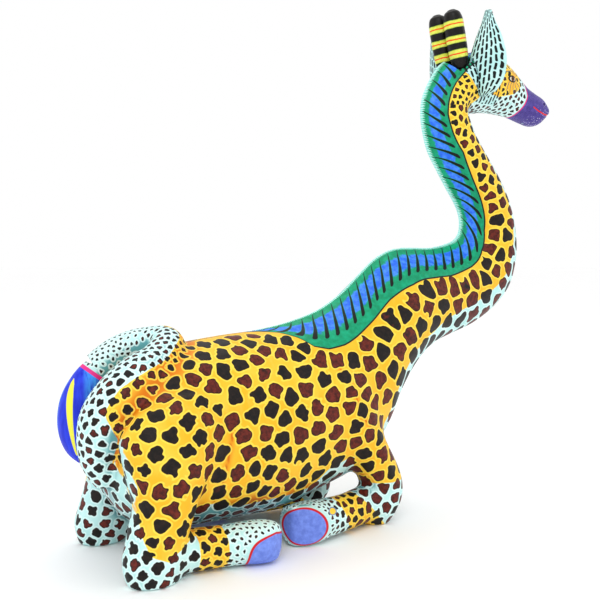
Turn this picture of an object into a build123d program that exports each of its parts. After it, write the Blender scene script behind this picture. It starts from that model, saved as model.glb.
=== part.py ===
from build123d import *
import math
import os

# ---------------------------------------------------------------------------
# Carved and painted giraffe lying with its legs folded, about 310 mm tall.
# Soft-wood blocks are glued on hidden dowels; the ears and the horns stand on
# whittled pegs in the head and lift out.
# Axes: +X towards the head, +Y to the animal's left, +Z up.
# Origin: on the ground, in the middle of the plan of the whole carving.
# Stations below are measured from the hind hocks (x = 0) and moved by DX.
# ---------------------------------------------------------------------------

DX = 147.62                # hock datum to origin
GROUND = 0.0

# hidden dowels and pegs (radii, mm)
GLUE_CLEAR = 0.05          # radial room for glue round a fixed dowel
RUN_CLEAR = 0.06           # radial room of a horn or ear peg in its socket
R_NECK_DOWEL = 6.0
R_HEAD_DOWEL = 4.0
R_TAIL_DOWEL = 3.0
R_LEG_DOWEL = 4.0
R_HORN_PEG = 2.5
R_EAR_PEG = 2.0
HORN_PEG_IN_HEAD = 18.0
HORN_PEG_IN_HORN = 14.0
EAR_PEG_IN_HEAD = 12.0
EAR_PEG_IN_EAR = 8.0
SEAT_GAP = 0.15            # under a horn, so that it turns
COPE_GAP = 0.6             # between an ear and the curved side of the head

LEG_FLAT_Y = 20.0          # inner glue face of a hind leg block
FORE_FLAT_Y = 17.0         # inner glue face of a foreleg block
TORSO_STATIONS = 12        # stations 0..11 are the torso, the rest is the neck
NECK_TOP_Z = 247.0         # saw cut between neck and head
NECK_SPANS = [(11, 16), (15, 19), (18, 30)]   # lofted lengths of the neck

# body stations: back or mane point (x, z), belly or throat point (x, z),
# half width, height of the mane ridge
BODY = [
    ((-5, 72), (-5, 44), 13, 0),
    ((-1, 84), (-1, 32), 25, 0),
    ((8, 97), (8, 20.5), 34, 0),
    ((22, 104.5), (23, 15), 39, 0),
    ((42, 108), (44, 13), 41.5, 0),
    ((64, 110.5), (68, 13), 42.0, 0),
    ((84, 112.5), (91, 14), 41.5, 0.6),
    ((104, 116), (113, 19), 40, 1.5),
    ((124, 122), (139, 31.5), 37, 2.5),
    ((140, 131), (158, 47), 34, 3.0),
    ((153, 141.6), (171, 63), 31.5, 4),
    ((166, 151.8), (182, 78), 29.5, 5),
    ((180, 157.6), (194, 89.5), 27, 5.5),
    ((195, 158.6), (208, 98), 24.5, 6),
    ((209, 158.7), (225, 103.5), 22.5, 6),
    ((221, 160.6), (243, 109), 20.8, 6.5),
    ((230.5, 163.6), (262, 119), 19.5, 8),
    ((234.8, 168), (276, 133), 18.8, 9),
    ((236, 173), (282, 154), 18.3, 9),
    ((235.3, 179.5), (280, 174), 18, 8.2),
    ((231.5, 187), (274, 191.5), 17.5, 7.5),
    ((224, 196.5), (263, 208.5), 17, 7),
    ((215, 208.5), (251, 222.5), 16.5, 6.5),
    ((207.5, 219.5), (243, 233), 16, 6.5),
    ((203.5, 231), (238, 242.5), 15.6, 6.5),
    ((201.9, 241), (236.5, 248), 15.5, 6.5),
    ((203, 251), (238, 255), 15.5, 6.5),
    ((208, 261.5), (244, 260), 15.8, 6),
    ((216, 272.5), (250, 264), 16, 5),
    ((226, 279.5), (256, 266), 16, 3),
]

# head stations: x, z, half height, half width, tilt of the axis in degrees
HEAD = [
    (222, 260, 12, 11, -8),
    (228, 263, 17, 15.5, -8),
    (240, 265.5, 20, 17.5, -10),
    (252, 266.5, 20.5, 17.5, -14),
    (264, 265.5, 18.5, 16.0, -20),
    (276, 262.5, 15.5, 13.5, -24),
    (288, 258.5, 12.3, 11.3, -24),
    (298, 255.5, 11.2, 11.0, -20),
    (306, 253.5, 10.5, 10.5, -16),
    (311, 252.5, 8, 8, -16),
    (314.5, 252, 3, 3, -16),
]

# haunch and hock, horizontal sections: x, y, z, half length, half width
HIND_UPPER = [
    (24, 28, 86, 12, 9),
    (22, 30, 78, 22, 15),
    (19, 31.5, 66, 26, 17),
    (15.5, 32, 50, 22.5, 17),
    (12.8, 32.5, 36, 18.6, 15.5),
    (10.5, 33, 24, 16, 14),
    (9.5, 32.5, 12, 15, 13),
    (9, 32, 4, 13, 11),
    (9, 32, 0, 10, 8.5),
]
# hind shank lying on the ground: x, y, z, half height, half width
HIND_LOWER = [
    (6, 32, 11, 10, 9.5),
    (22, 32.5, 11, 10.3, 10),
    (40, 34.5, 10.6, 10, 10),
    (54, 37.5, 10.6, 10.4, 10.4),
    (63, 40.5, 10.6, 10.6, 11),
    (70, 43, 10.2, 8.6, 9.2),
    (72.5, 44, 10, 4, 5),
]
# upper foreleg, horizontal sections: x, y, z, half length, half width
FORE_UPPER = [
    (119, 26, 90, 10, 8),
    (121, 27, 82, 17, 11.5),
    (126, 27.5, 66, 16, 13),
    (136.5, 26, 48, 15, 13),
    (146.5, 25, 34, 13.5, 12.5),
    (153, 23, 22, 12.7, 12),
    (153, 22, 11, 12.2, 11.5),
    (150, 21.5, 3, 9, 9),
    (150, 21.5, 0, 7.5, 7.5),
]
# fore shank folded back under the belly: x, y, z, half height, half width
FORE_LOWER = [
    (154, 21.5, 12.5, 11.5, 11),
    (140, 23.5, 12, 10.2, 10),
    (124, 26.5, 11, 9.8, 9.6),
    (108, 29, 11, 10.5, 10.5),
    (99, 30.5, 11.2, 11.2, 11.8),
    (93, 31.5, 11.2, 11.0, 12),
]
FORE_LEFT_BACK = 16.0      # the left knee is folded this much further back


def fore_stations(side, setback):
    """Stations of one foreleg; its knee is set back, its shoulder is not."""
    upper = []
    for x, y, z, rx, ry in FORE_UPPER:
        part_way = min(max((88 - z) / 62, 0), 1)
        upper.append((x - setback * part_way, side * y, z, rx, ry))
    lower = [(x - setback, side * y, z, rz, ry) for x, y, z, rz, ry in FORE_LOWER]
    return upper, lower


# tail: rising limb up the rump, then the limb that comes over and down to the
# left, then the tuft: x, y, z, radius
TAIL_RISE = [
    (-1, -3, 44, 9),
    (-7, -4, 56, 10.5),
    (-8, -4, 70, 11.5),
    (-3, -4, 81, 11),
    (7, -4, 91, 10.5),
    (18, -3, 99, 9.8),
    (28, -1, 105.5, 9.2),
]
TAIL_BEND = (31, 4, 107.5, 9.0)
TAIL_FALL = [
    (28, 10, 107.5, 8.8),
    (20, 15, 106, 8.8),
    (10, 18, 102, 8.8),
    (1, 21, 95, 8.5),
]
TUFT = [
    (1, 21, 95, 7.2),
    (-4, 22, 87, 9),
    (-7.5, 23, 77, 10.5),
    (-8, 23, 66, 11),
    (-7, 22, 56, 9),
    (-4, 20, 47, 4),
]

# horns: straight, leaning back on their own peg axis
HORN_LEAN = 14.0                        # degrees back from upright
HORN_FOOT = (230.2, 6.6, 271.5)         # seat point on the axis
HORN = [(0.0, 4.7), (4, 5.4), (12, 6.1), (22, 6.25), (30, 6.1), (34.5, 4.9), (36.3, 2.6)]

# ear: leaf shape standing on the side of the head
EAR_AXIS = (0.0, 0.6, 0.8)              # peg direction, right ear mirrored
EAR_SEAT = (238.6, 18.0, 266.0)
EAR_WIDTH_DIR = (0.3, 0.954, 0.0)
EAR = [  # x, y, z, half width, half thickness
    (240.0, 16.5, 254.0, 3.0, 2.4),
    (239.8, 17.5, 257.0, 8.2, 4.0),
    (239.4, 19.0, 263.0, 11.8, 4.8),
    (239.0, 20.3, 270.0, 12.8, 5.0),
    (238.4, 21.5, 278.0, 12.2, 4.6),
    (237.4, 22.8, 289.0, 8.8, 3.6),
    (236.2, 23.8, 298.0, 4.6, 2.4),
    (235.4, 24.4, 305.0, 0.9, 0.8),
]


def section_plane(top, bottom, ridge):
    """Plane of a body section: local x is across, local y runs to the mane."""
    dx, dz = top[0] - bottom[0], top[1] - bottom[1]
    length = math.hypot(dx, dz)
    nx, nz = dx / length, dz / length
    half = (length - ridge) / 2
    origin = (bottom[0] + half * nx - DX, 0, bottom[1] + half * nz)
    return Plane(origin=origin, x_dir=(0, 1, 0), z_dir=(nz, 0, -nx)), half


def section_points(half, width, ridge):
    """Ellipse drawn up to a ridge by the two tangents from its apex."""
    phi = math.acos(half / (half + ridge))
    pts = []
    for deg in (0, 14, 30, 50, 75, 105, 140, 180, 220, 255, 285, 310, 330, 346):
        t = math.radians(min(deg, 360 - deg))
        rho = 1 / math.cos(t - phi) if t < phi else 1.0
        side = 1 if deg <= 180 else -1
        pts.append((side * width * rho * math.sin(t), half * rho * math.cos(t)))
    return pts


def path_frames(stations):
    """Upright section planes along a shank lying on the ground."""
    frames = []
    for i, (x, y, z, rz, ry) in enumerate(stations):
        a = stations[max(i - 1, 0)]
        b = stations[min(i + 1, len(stations) - 1)]
        d = Vector(b[0] - a[0], b[1] - a[1], 0).normalized()
        side = Vector(-d.Y, d.X, 0)
        frames.append((Plane(origin=(x - DX, y, z), x_dir=side, z_dir=d), ry, rz))
    return frames


def tube_frames(stations, across=Vector(0.2, 1, 0.1)):
    """Section planes of a round limb along a free path."""
    frames = []
    for i, (x, y, z, r) in enumerate(stations):
        a = stations[max(i - 1, 0)]
        b = stations[min(i + 1, len(stations) - 1)]
        d = Vector(b[0] - a[0], b[1] - a[1], b[2] - a[2]).normalized()
        frames.append((Plane(origin=(x - DX, y, z), x_dir=across.cross(d), z_dir=d), r))
    return frames


def dowel_plane(start, end):
    """Plane at the middle of a dowel with its z axis along it, and its length."""
    s = Vector(start[0] - DX, start[1], start[2])
    e = Vector(end[0] - DX, end[1], end[2])
    return Plane(origin=(s + e) * 0.5, z_dir=(e - s).normalized()), (e - s).length


# --- hidden dowels: start and end points -----------------------------------
NECK_DOWEL = ((152, 0, 100), (196, 0, 129))
HEAD_DOWEL = ((221.5, 0, 231), (220.0, 0, 260))
TAIL_DOWEL = ((12, -4, 68), (-9, -4, 68))
HIND_DOWELS = [((20, 10, 64), (20, 36, 64)), ((18, 10, 42), (18, 34, 42))]
FORE_DOWELS = [((121, 10, 76), (121, 33, 76)), ((128, 10, 58), (128, 33, 58))]

lean = math.radians(HORN_LEAN)
horn_dir = Vector(-math.sin(lean), 0, math.cos(lean))
ear_dir = Vector(*EAR_AXIS)


# --- plain bodies of the blocks before they are fitted together ------------
with BuildPart() as torso_block:
    for top, bottom, width, ridge in BODY[:TORSO_STATIONS]:
        plane, half = section_plane(top, bottom, ridge)
        with BuildSketch(plane):
            with BuildLine():
                Spline(*section_points(half, width, ridge), periodic=True)
            make_face()
    loft()

with BuildPart() as neck_block:
    for first, last in NECK_SPANS:
        for top, bottom, width, ridge in BODY[first:last]:
            plane, half = section_plane(top, bottom, ridge)
            with BuildSketch(plane):
                with BuildLine():
                    Spline(*section_points(half, width, ridge), periodic=True)
                make_face()
        loft()

with BuildPart() as head_block:
    for x, z, a, b, tilt in HEAD:
        t = math.radians(tilt)
        with BuildSketch(Plane(origin=(x - DX, 0, z), x_dir=(0, 1, 0),
                               z_dir=(math.cos(t), 0, math.sin(t)))):
            Ellipse(b, a)
    loft()

# the same head, a little larger, to cope the ears with room to lift off
with BuildPart() as head_clearance:
    for x, z, a, b, tilt in HEAD:
        t = math.radians(tilt)
        with BuildSketch(Plane(origin=(x - DX, 0, z), x_dir=(0, 1, 0),
                               z_dir=(math.cos(t), 0, math.sin(t)))):
            Ellipse(b + COPE_GAP, a + COPE_GAP)
    loft()
    for top, bottom, width, ridge in BODY[25:30]:
        plane, half = section_plane(top, bottom, ridge)
        with BuildSketch(plane):
            with BuildLine():
                Spline(*section_points(half + COPE_GAP, width + COPE_GAP, ridge),
                       periodic=True)
            make_face()
    loft()

with BuildPart() as hind_block:
    for x, y, z, rx, ry in HIND_UPPER:
        with BuildSketch(Plane.XY.offset(z)):
            with Locations((x - DX, y)):
                Ellipse(rx, ry)
    loft()
    for plane, ry, rz in path_frames(HIND_LOWER):
        with BuildSketch(plane):
            Ellipse(ry, rz)
    loft()
    split(bisect_by=Plane.XY.offset(GROUND), keep=Keep.TOP)
    split(bisect_by=Plane.XZ.offset(-LEG_FLAT_Y), keep=Keep.BOTTOM)

fore_upper, fore_lower = fore_stations(1, FORE_LEFT_BACK)
with BuildPart() as fore_left_block:
    for x, y, z, rx, ry in fore_upper:
        with BuildSketch(Plane.XY.offset(z)):
            with Locations((x - DX, y)):
                Ellipse(rx, ry)
    loft()
    for plane, ry, rz in path_frames(fore_lower):
        with BuildSketch(plane):
            Ellipse(ry, rz)
    loft()
    split(bisect_by=Plane.XY.offset(GROUND), keep=Keep.TOP)
    split(bisect_by=Plane.XZ.offset(-FORE_FLAT_Y), keep=Keep.BOTTOM)

fore_upper, fore_lower = fore_stations(-1, 0)
with BuildPart() as fore_right_block:
    for x, y, z, rx, ry in fore_upper:
        with BuildSketch(Plane.XY.offset(z)):
            with Locations((x - DX, y)):
                Ellipse(rx, ry)
    loft()
    for plane, ry, rz in path_frames(fore_lower):
        with BuildSketch(plane):
            Ellipse(ry, rz)
    loft()
    split(bisect_by=Plane.XY.offset(GROUND), keep=Keep.TOP)
    split(bisect_by=Plane.XZ.offset(FORE_FLAT_Y), keep=Keep.TOP)

with BuildPart() as tail_block:
    for plane, r in tube_frames(TAIL_RISE):
        with BuildSketch(plane):
            Circle(r)
    loft()
    for plane, r in tube_frames(TAIL_FALL):
        with BuildSketch(plane):
            Circle(r)
    loft()
    with Locations((TAIL_BEND[0] - DX, TAIL_BEND[1], TAIL_BEND[2])):
        Sphere(TAIL_BEND[3])
    for plane, r in tube_frames(TUFT):
        with BuildSketch(plane):
            Circle(r)
    loft()


hind_right_block = mirror(hind_block.part, about=Plane.XZ, mode=Mode.PRIVATE)
tail_plane, tail_len = dowel_plane(*TAIL_DOWEL)
neck_plane, neck_len = dowel_plane(*NECK_DOWEL)
head_plane, head_len = dowel_plane(*HEAD_DOWEL)
hind_pins = [dowel_plane(s, e) for s, e in HIND_DOWELS]
fore_pins = [dowel_plane(s, e) for s, e in FORE_DOWELS]
hind_pins_right = [dowel_plane((s[0], -s[1], s[2]), (e[0], -e[1], e[2])) for s, e in HIND_DOWELS]
fore_pins_right = [dowel_plane((s[0], -s[1], s[2]), (e[0], -e[1], e[2])) for s, e in FORE_DOWELS]


def bores(planes_lengths, radius, spare=0.4):
    """Cut blind dowel holes, a little wider and longer than their dowels."""
    for plane, length in planes_lengths:
        with Locations(plane):
            Cylinder(radius + GLUE_CLEAR, length + 2 * spare, mode=Mode.SUBTRACT)


# --- torso: pockets with flat floors take the four legs ---------------------
with BuildPart() as torso:
    add(torso_block.part)
    add(hind_block.part, mode=Mode.SUBTRACT)
    add(hind_right_block, mode=Mode.SUBTRACT)
    add(fore_left_block.part, mode=Mode.SUBTRACT)
    add(fore_right_block.part, mode=Mode.SUBTRACT)
    bores([(neck_plane, neck_len)], R_NECK_DOWEL)
    bores([(tail_plane, tail_len)], R_TAIL_DOWEL)
    bores(hind_pins + hind_pins_right + fore_pins + fore_pins_right, R_LEG_DOWEL)

# --- legs -------------------------------------------------------------------
with BuildPart() as hindleg_left:
    add(hind_block.part)
    bores(hind_pins, R_LEG_DOWEL)

with BuildPart() as foreleg_left:
    add(fore_left_block.part)
    bores(fore_pins, R_LEG_DOWEL)

with BuildPart() as foreleg_right:
    add(fore_right_block.part)
    bores(fore_pins_right, R_LEG_DOWEL)

# --- neck -------------------------------------------------------------------
with BuildPart() as neck:
    add(neck_block.part)
    split(bisect_by=Plane.XY.offset(NECK_TOP_Z), keep=Keep.BOTTOM)
    add(head_block.part, mode=Mode.SUBTRACT)
    bores([(neck_plane, neck_len)], R_NECK_DOWEL)
    bores([(head_plane, head_len)], R_HEAD_DOWEL)

# --- head: nape and skull in one block, with a flat where the horns stand ---
horn_foot = Vector(HORN_FOOT[0] - DX, HORN_FOOT[1], HORN_FOOT[2])
seat_mid = Vector(horn_foot.X, 0, horn_foot.Z)
horn_peg_mid = horn_foot + horn_dir * ((HORN_PEG_IN_HORN - HORN_PEG_IN_HEAD) / 2)
horn_peg_len = HORN_PEG_IN_HORN + HORN_PEG_IN_HEAD
ear_seat = Vector(EAR_SEAT[0] - DX, EAR_SEAT[1], EAR_SEAT[2])
ear_peg_mid = ear_seat + ear_dir * ((EAR_PEG_IN_EAR - EAR_PEG_IN_HEAD) / 2)
ear_peg_len = EAR_PEG_IN_EAR + EAR_PEG_IN_HEAD

with BuildPart() as head:
    add(neck_block.part)
    split(bisect_by=Plane.XY.offset(NECK_TOP_Z), keep=Keep.TOP)
    add(head_block.part)
    bores([(head_plane, head_len)], R_HEAD_DOWEL)
    with Locations(Plane(origin=seat_mid, x_dir=(0, 1, 0), z_dir=horn_dir)):
        Box(27, 13.6, 16, align=(Align.CENTER, Align.CENTER, Align.MIN), mode=Mode.SUBTRACT)
    for side in (1, -1):
        foot = Vector(horn_foot.X, side * horn_foot.Y, horn_foot.Z)
        with Locations(Plane(origin=foot, z_dir=horn_dir)):
            Cylinder(R_HORN_PEG + RUN_CLEAR, HORN_PEG_IN_HEAD + 0.5,
                     align=(Align.CENTER, Align.CENTER, Align.MAX), mode=Mode.SUBTRACT)
        seat = Vector(ear_seat.X, side * ear_seat.Y, ear_seat.Z)
        axis = Vector(ear_dir.X, side * ear_dir.Y, ear_dir.Z)
        with Locations(Plane(origin=seat - axis * (EAR_PEG_IN_HEAD + 0.5), z_dir=axis)):
            Cylinder(R_EAR_PEG + RUN_CLEAR, 20,
                     align=(Align.CENTER, Align.CENTER, Align.MIN), mode=Mode.SUBTRACT)

# --- tail and tuft, coped to the rump and to the left haunch ----------------
with BuildPart() as tail_raw:
    add(tail_block.part)
    add(torso_block.part, mode=Mode.SUBTRACT)
    add(hind_block.part, mode=Mode.SUBTRACT)
    bores([(tail_plane, tail_len)], R_TAIL_DOWEL)
with BuildPart() as tail:
    add(tail_raw.part.solids().sort_by(SortBy.VOLUME)[-1])

# --- horns: turned shape on its own axis, with a blind peg hole -------------
with BuildPart() as horn_left:
    for h, r in HORN:
        with BuildSketch(Plane(origin=horn_foot + horn_dir * (h + SEAT_GAP), x_dir=(0, 1, 0),
                               z_dir=horn_dir)):
            Circle(r)
    loft()
    with Locations(Plane(origin=horn_foot, z_dir=horn_dir)):
        Cylinder(R_HORN_PEG + RUN_CLEAR, HORN_PEG_IN_HORN + 0.5,
                 align=(Align.CENTER, Align.CENTER, Align.MIN), mode=Mode.SUBTRACT)

with BuildPart() as horn_peg_left:
    with Locations(Plane(origin=horn_peg_mid, z_dir=horn_dir)):
        Cylinder(R_HORN_PEG, horn_peg_len)
    chamfer(horn_peg_left.edges().filter_by(GeomType.CIRCLE), 0.5)

# --- ears: cupped leaf, coped to the side of the head -----------------------
ear_side = Vector(*EAR_WIDTH_DIR)
ear_front = Vector(EAR_WIDTH_DIR[1], -EAR_WIDTH_DIR[0], 0)
with BuildPart() as ear_left:
    for x, y, z, w, t in EAR:
        with BuildSketch(Plane(origin=(x - DX, y, z), x_dir=ear_side, z_dir=(0, 0, 1))):
            Ellipse(w, t)
    loft()
    for x, y, z, w, t in EAR[3:7]:
        with BuildSketch(Plane(origin=Vector(x - DX, y, z) + ear_front * (t * 1.15),
                               x_dir=ear_side, z_dir=(0, 0, 1))):
            Ellipse(w * 0.72, t * 0.85)
    loft(mode=Mode.SUBTRACT)
    add(head_clearance.part, mode=Mode.SUBTRACT)
    with Locations(Plane(origin=ear_seat - ear_dir * 10, z_dir=ear_dir)):
        Cylinder(R_EAR_PEG + GLUE_CLEAR / 2, EAR_PEG_IN_EAR + 10.3,
                 align=(Align.CENTER, Align.CENTER, Align.MIN), mode=Mode.SUBTRACT)

with BuildPart() as ear_peg_left:
    with Locations(Plane(origin=ear_peg_mid, z_dir=ear_dir)):
        Cylinder(R_EAR_PEG, ear_peg_len)
    chamfer(ear_peg_left.edges().filter_by(GeomType.CIRCLE), 0.4)

# --- glued dowels -------------------------------------------------------------
with BuildPart() as dowel_neck:
    with Locations(neck_plane):
        Cylinder(R_NECK_DOWEL, neck_len)
    chamfer(dowel_neck.edges().filter_by(GeomType.CIRCLE), 0.8)
with BuildPart() as dowel_head:
    with Locations(head_plane):
        Cylinder(R_HEAD_DOWEL, head_len)
    chamfer(dowel_head.edges().filter_by(GeomType.CIRCLE), 0.6)
with BuildPart() as dowel_tail:
    with Locations(tail_plane):
        Cylinder(R_TAIL_DOWEL, tail_len)
    chamfer(dowel_tail.edges().filter_by(GeomType.CIRCLE), 0.5)
with BuildPart() as dowels_hindleg_left:
    for plane, length in hind_pins:
        with Locations(plane):
            Cylinder(R_LEG_DOWEL, length)
    chamfer(dowels_hindleg_left.edges().filter_by(GeomType.CIRCLE), 0.6)
with BuildPart() as dowels_foreleg_left:
    for plane, length in fore_pins:
        with Locations(plane):
            Cylinder(R_LEG_DOWEL, length)
    chamfer(dowels_foreleg_left.edges().filter_by(GeomType.CIRCLE), 0.6)

# --- right-hand pieces are mirror images --------------------------------------
pieces = {
    "torso": torso.part, "neck": neck.part, "head": head.part, "tail": tail.part,
    "dowel_neck": dowel_neck.part, "dowel_head": dowel_head.part,
    "dowel_tail": dowel_tail.part,
    "foreleg_left": foreleg_left.part, "foreleg_right": foreleg_right.part,
}
sided = {
    "hindleg": hindleg_left.part,
    "ear": ear_left.part, "horn": horn_left.part,
    "ear_peg": ear_peg_left.part, "horn_peg": horn_peg_left.part,
    "dowels_hindleg": dowels_hindleg_left.part,
    "dowels_foreleg": dowels_foreleg_left.part,
}
for name, shape in sided.items():
    pieces[name + "_left"] = shape
    pieces[name + "_right"] = mirror(shape, about=Plane.XZ, mode=Mode.PRIVATE)

os.makedirs("parts", exist_ok=True)
low, high = [1e9] * 3, [-1e9] * 3
for name, shape in pieces.items():
    shape.label = name
    export_step(shape, f"parts/{name}.step")
    box = shape.bounding_box()
    for i, (a, b) in enumerate(zip(tuple(box.min), tuple(box.max))):
        low[i], high[i] = min(low[i], a), max(high[i], b)
    print(f"{name:24s} solids {len(shape.solids())} volume {shape.volume:10.0f} valid {shape.is_valid}")
print("box", [round(v, 2) for v in low], [round(v, 2) for v in high])
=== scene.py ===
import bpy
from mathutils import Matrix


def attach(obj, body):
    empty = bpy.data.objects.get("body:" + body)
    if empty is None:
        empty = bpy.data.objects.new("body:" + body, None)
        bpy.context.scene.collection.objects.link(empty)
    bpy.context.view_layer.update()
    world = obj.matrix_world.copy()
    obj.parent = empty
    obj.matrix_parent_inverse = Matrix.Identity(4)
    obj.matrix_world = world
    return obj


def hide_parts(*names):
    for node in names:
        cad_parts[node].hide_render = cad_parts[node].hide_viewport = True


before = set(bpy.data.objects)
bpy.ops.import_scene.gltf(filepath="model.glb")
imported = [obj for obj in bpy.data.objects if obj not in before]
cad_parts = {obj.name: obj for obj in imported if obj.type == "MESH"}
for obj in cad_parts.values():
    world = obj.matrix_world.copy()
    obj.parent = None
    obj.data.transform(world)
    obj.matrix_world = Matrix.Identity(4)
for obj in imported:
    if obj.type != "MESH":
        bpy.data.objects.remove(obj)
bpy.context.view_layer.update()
import bpy, math
import numpy as np
import openvdb
from mathutils import Vector
from mathutils.kdtree import KDTree

RNG = np.random.default_rng(41)
DX = 147.62                  # carving tables have x = 0 at the hind hocks, mm

# ---- carving tables, mm: crest point, belly point, half width, ridge --------------
BODY=[((-5,72),(-5,44),13,0),((-1,84),(-1,32),25,0),((8,97),(8,20.5),34,0),((22,104.5),(23,15),39,0),((42,108),(44,13),41.5,0),((64,110.5),(68,13),42.0,0),((84,112.5),(91,14),41.5,0.6),((104,116),(113,19),40,1.5),((124,122),(139,31.5),37,2.5),((140,131),(158,47),34,3.0),((153,141.6),(171,63),31.5,4),((166,151.8),(182,78),29.5,5),((180,157.6),(194,89.5),27,5.5),((195,158.6),(208,98),24.5,6),((209,158.7),(225,103.5),22.5,6),((221,160.6),(243,109),20.8,6.5),((230.5,163.6),(262,119),19.5,8),((234.8,168),(276,133),18.8,9),((236,173),(282,154),18.3,9),((235.3,179.5),(280,174),18,8.2),((231.5,187),(274,191.5),17.5,7.5),((224,196.5),(263,208.5),17,7),((215,208.5),(251,222.5),16.5,6.5),((207.5,219.5),(243,233),16,6.5),((203.5,231),(238,242.5),15.6,6.5),((201.9,241),(236.5,248),15.5,6.5),((203,251),(238,255),15.5,6.5),((208,261.5),(244,260),15.8,6),((216,272.5),(250,264),16,5),((226,279.5),(256,266),16,3)]
HEAD=[(222,260,12,11,-8),(228,263,17,15.5,-8),(240,265.5,20,17.5,-10),(252,266.5,20.5,17.5,-14),(264,265.5,18.5,16.0,-20),(276,262.5,15.5,13.5,-24),(288,258.5,12.3,11.3,-24),(298,255.5,11.2,11.0,-20),(306,253.5,10.5,10.5,-16),(311,252.5,8,8,-16),(314.5,252,3,3,-16)]
HIND_UPPER=[(24,28,86,12,9),(22,30,78,22,15),(19,31.5,66,26,17),(15.5,32,50,22.5,17),(12.8,32.5,36,18.6,15.5),(10.5,33,24,16,14),(9.5,32.5,12,15,13),(9,32,4,13,11),(9,32,-1,11,9.5)]
HIND_LOWER=[(6,32,11,10,9.5),(22,32.5,11,10.3,10),(40,34.5,10.6,10,10),(54,37.5,10.6,10.4,10.4),(63,40.5,10.6,10.6,11),(70,43,10.2,8.6,9.2),(72.5,44,10,4,5)]
FORE_UPPER=[(119,26,90,10,8),(121,27,82,17,11.5),(126,27.5,66,16,13),(136.5,26,48,15,13),(146.5,25,34,13.5,12.5),(153,23,22,12.7,12),(153,22,11,12.2,11.5),(150,21.5,3,9,9),(150,21.5,-1,8,8)]
FORE_LOWER=[(154,21.5,12.5,11.5,11),(140,23.5,12,10.2,10),(124,26.5,11,9.8,9.6),(108,29,11,10.5,10.5),(99,30.5,11.2,11.2,11.8),(93,31.5,11.2,11.0,12)]
TAIL_RISE=[(-1,-3,44,9),(-7,-4,56,10.5),(-8,-4,70,11.5),(-3,-4,81,11),(7,-4,91,10.5),(18,-3,99,9.8),(28,-1,105.5,9.2),(31,4,107.5,9.0),(28,10,107.5,8.8),(20,15,106,8.8),(10,18,102,8.8),(1,21,95,8.5)]
TUFT=[(1,21,95,7.2),(-4,22,87,9),(-7.5,23,77,10.5),(-8,23,66,11),(-7,22,56,9),(-4,20,47,4)]

HORN_PROFILE = [(0.0, 4.7), (4, 5.4), (12, 6.1), (22, 6.25), (30, 6.1), (34.5, 4.9), (36.3, 2.6)]
HORN_FOOT = (230.2, 6.6, 271.5)
HORN_DIR = (-math.sin(math.radians(14)), 0.0, math.cos(math.radians(14)))
EAR = [(240.0, 16.5, 254.0, 3.0, 2.4), (239.8, 17.5, 257.0, 8.2, 4.0), (239.4, 19.0, 263.0, 11.8, 4.8),
       (239.0, 20.3, 270.0, 12.8, 5.0), (238.4, 21.5, 278.0, 12.2, 4.6), (237.4, 22.8, 289.0, 8.8, 3.6),
       (236.2, 23.8, 298.0, 4.6, 2.4), (235.4, 24.4, 305.0, 0.9, 0.8)]
EAR_SEAT, EAR_AXIS, EAR_SIDE = (238.6, 18.0, 266.0), (0.0, 0.6, 0.8), (0.3, 0.954, 0.0)
FORE_LEFT_BACK = 19.0
# finer carving than the plain solids: fuller tail root, fuller brisket, longer fore hoof, blunter ear tip
TAIL_RISE[0:7] = [(-1, -3, 44, 9), (-6.5, -5, 56, 11), (-4.2, -8.5, 70, 15.0), (2.6, -10, 81, 15.6), (12.4, -9.8, 90.2, 14.6), (22.5, -7.5, 97.5, 12.2), (29, -3, 104.5, 9.8)]
BODY[8] = ((124, 122), (142.5, 28), 37, 2.5)
BODY[9] = ((140, 131), (160.5, 44.5), 34, 3.0)
FORE_LOWER.append((86.0, 32.2, 11.4, 10.4, 11.6))
# hocks: waisted under the rump, spreading back and out to the ground
HIND_UPPER[3:] = [(16.4, 32, 50, 20.4, 17), (14.6, 32.4, 36, 15.8, 15.2), (10.9, 33.2, 24, 14.8, 14), (8.2, 34.4, 12, 15.4, 13),
                  (7.6, 34.4, 4, 13.8, 11), (7.6, 34.4, -1, 11.8, 9.5)]
EAR[-1] = (235.4, 24.4, 305.0, 2.1, 1.5)

# ---- paint tables, in the carving's own terms -------------------------------------
# along the body: station number -> angle round the section from the crest, degrees
MANE_EDGE = [(5.55, 0), (5.9, 4), (6.34, 13), (6.73, 26), (6.99, 38), (7.35, 44), (7.83, 46), (8.84, 46), (10.2, 47), (11.5, 54),
             (12.7, 56), (13.8, 57), (15.3, 52), (16.8, 40), (18.2, 36), (19.7, 42), (21.2, 50), (22.4, 60), (23.6, 55),
             (24.7, 52), (26, 54), (27, 53), (27.7, 58), (29, 60)]
PALE_EDGE = [(0, 180), (1.6, 150), (2.2, 133), (3.0, 131), (3.9, 128), (4.5, 136), (5.5, 136), (6.5, 137), (6.9, 126), (8.5, 122), (9.5, 113),
             (10.6, 112), (12.2, 118), (13.8, 109), (15.5, 102), (17.5, 102), (20, 116), (22.4, 122), (24.4, 117),
             (25.3, 135), (27, 120), (29, 105)]
HAUNCH_X = [(-5, -1.0), (16.8, 1.3), (25.6, -1.1), (32, -0.9), (39, -1.4), (46.8, -1.7), (53, -4.0), (58, -4.6), (62.8, -6.7), (66.7, -6.5), (80, -5.0), (96, 4.0)]
THIGH_Z = [(-20, 17.0), (1.3, 16.8), (10, 12.7), (14, 15.9), (23.4, 19.2), (40, 20.5), (70, 23.0)]


def lookup(table, q):
    t = np.array(table, float)
    return np.interp(q, t[:, 0], t[:, 1])


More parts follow.
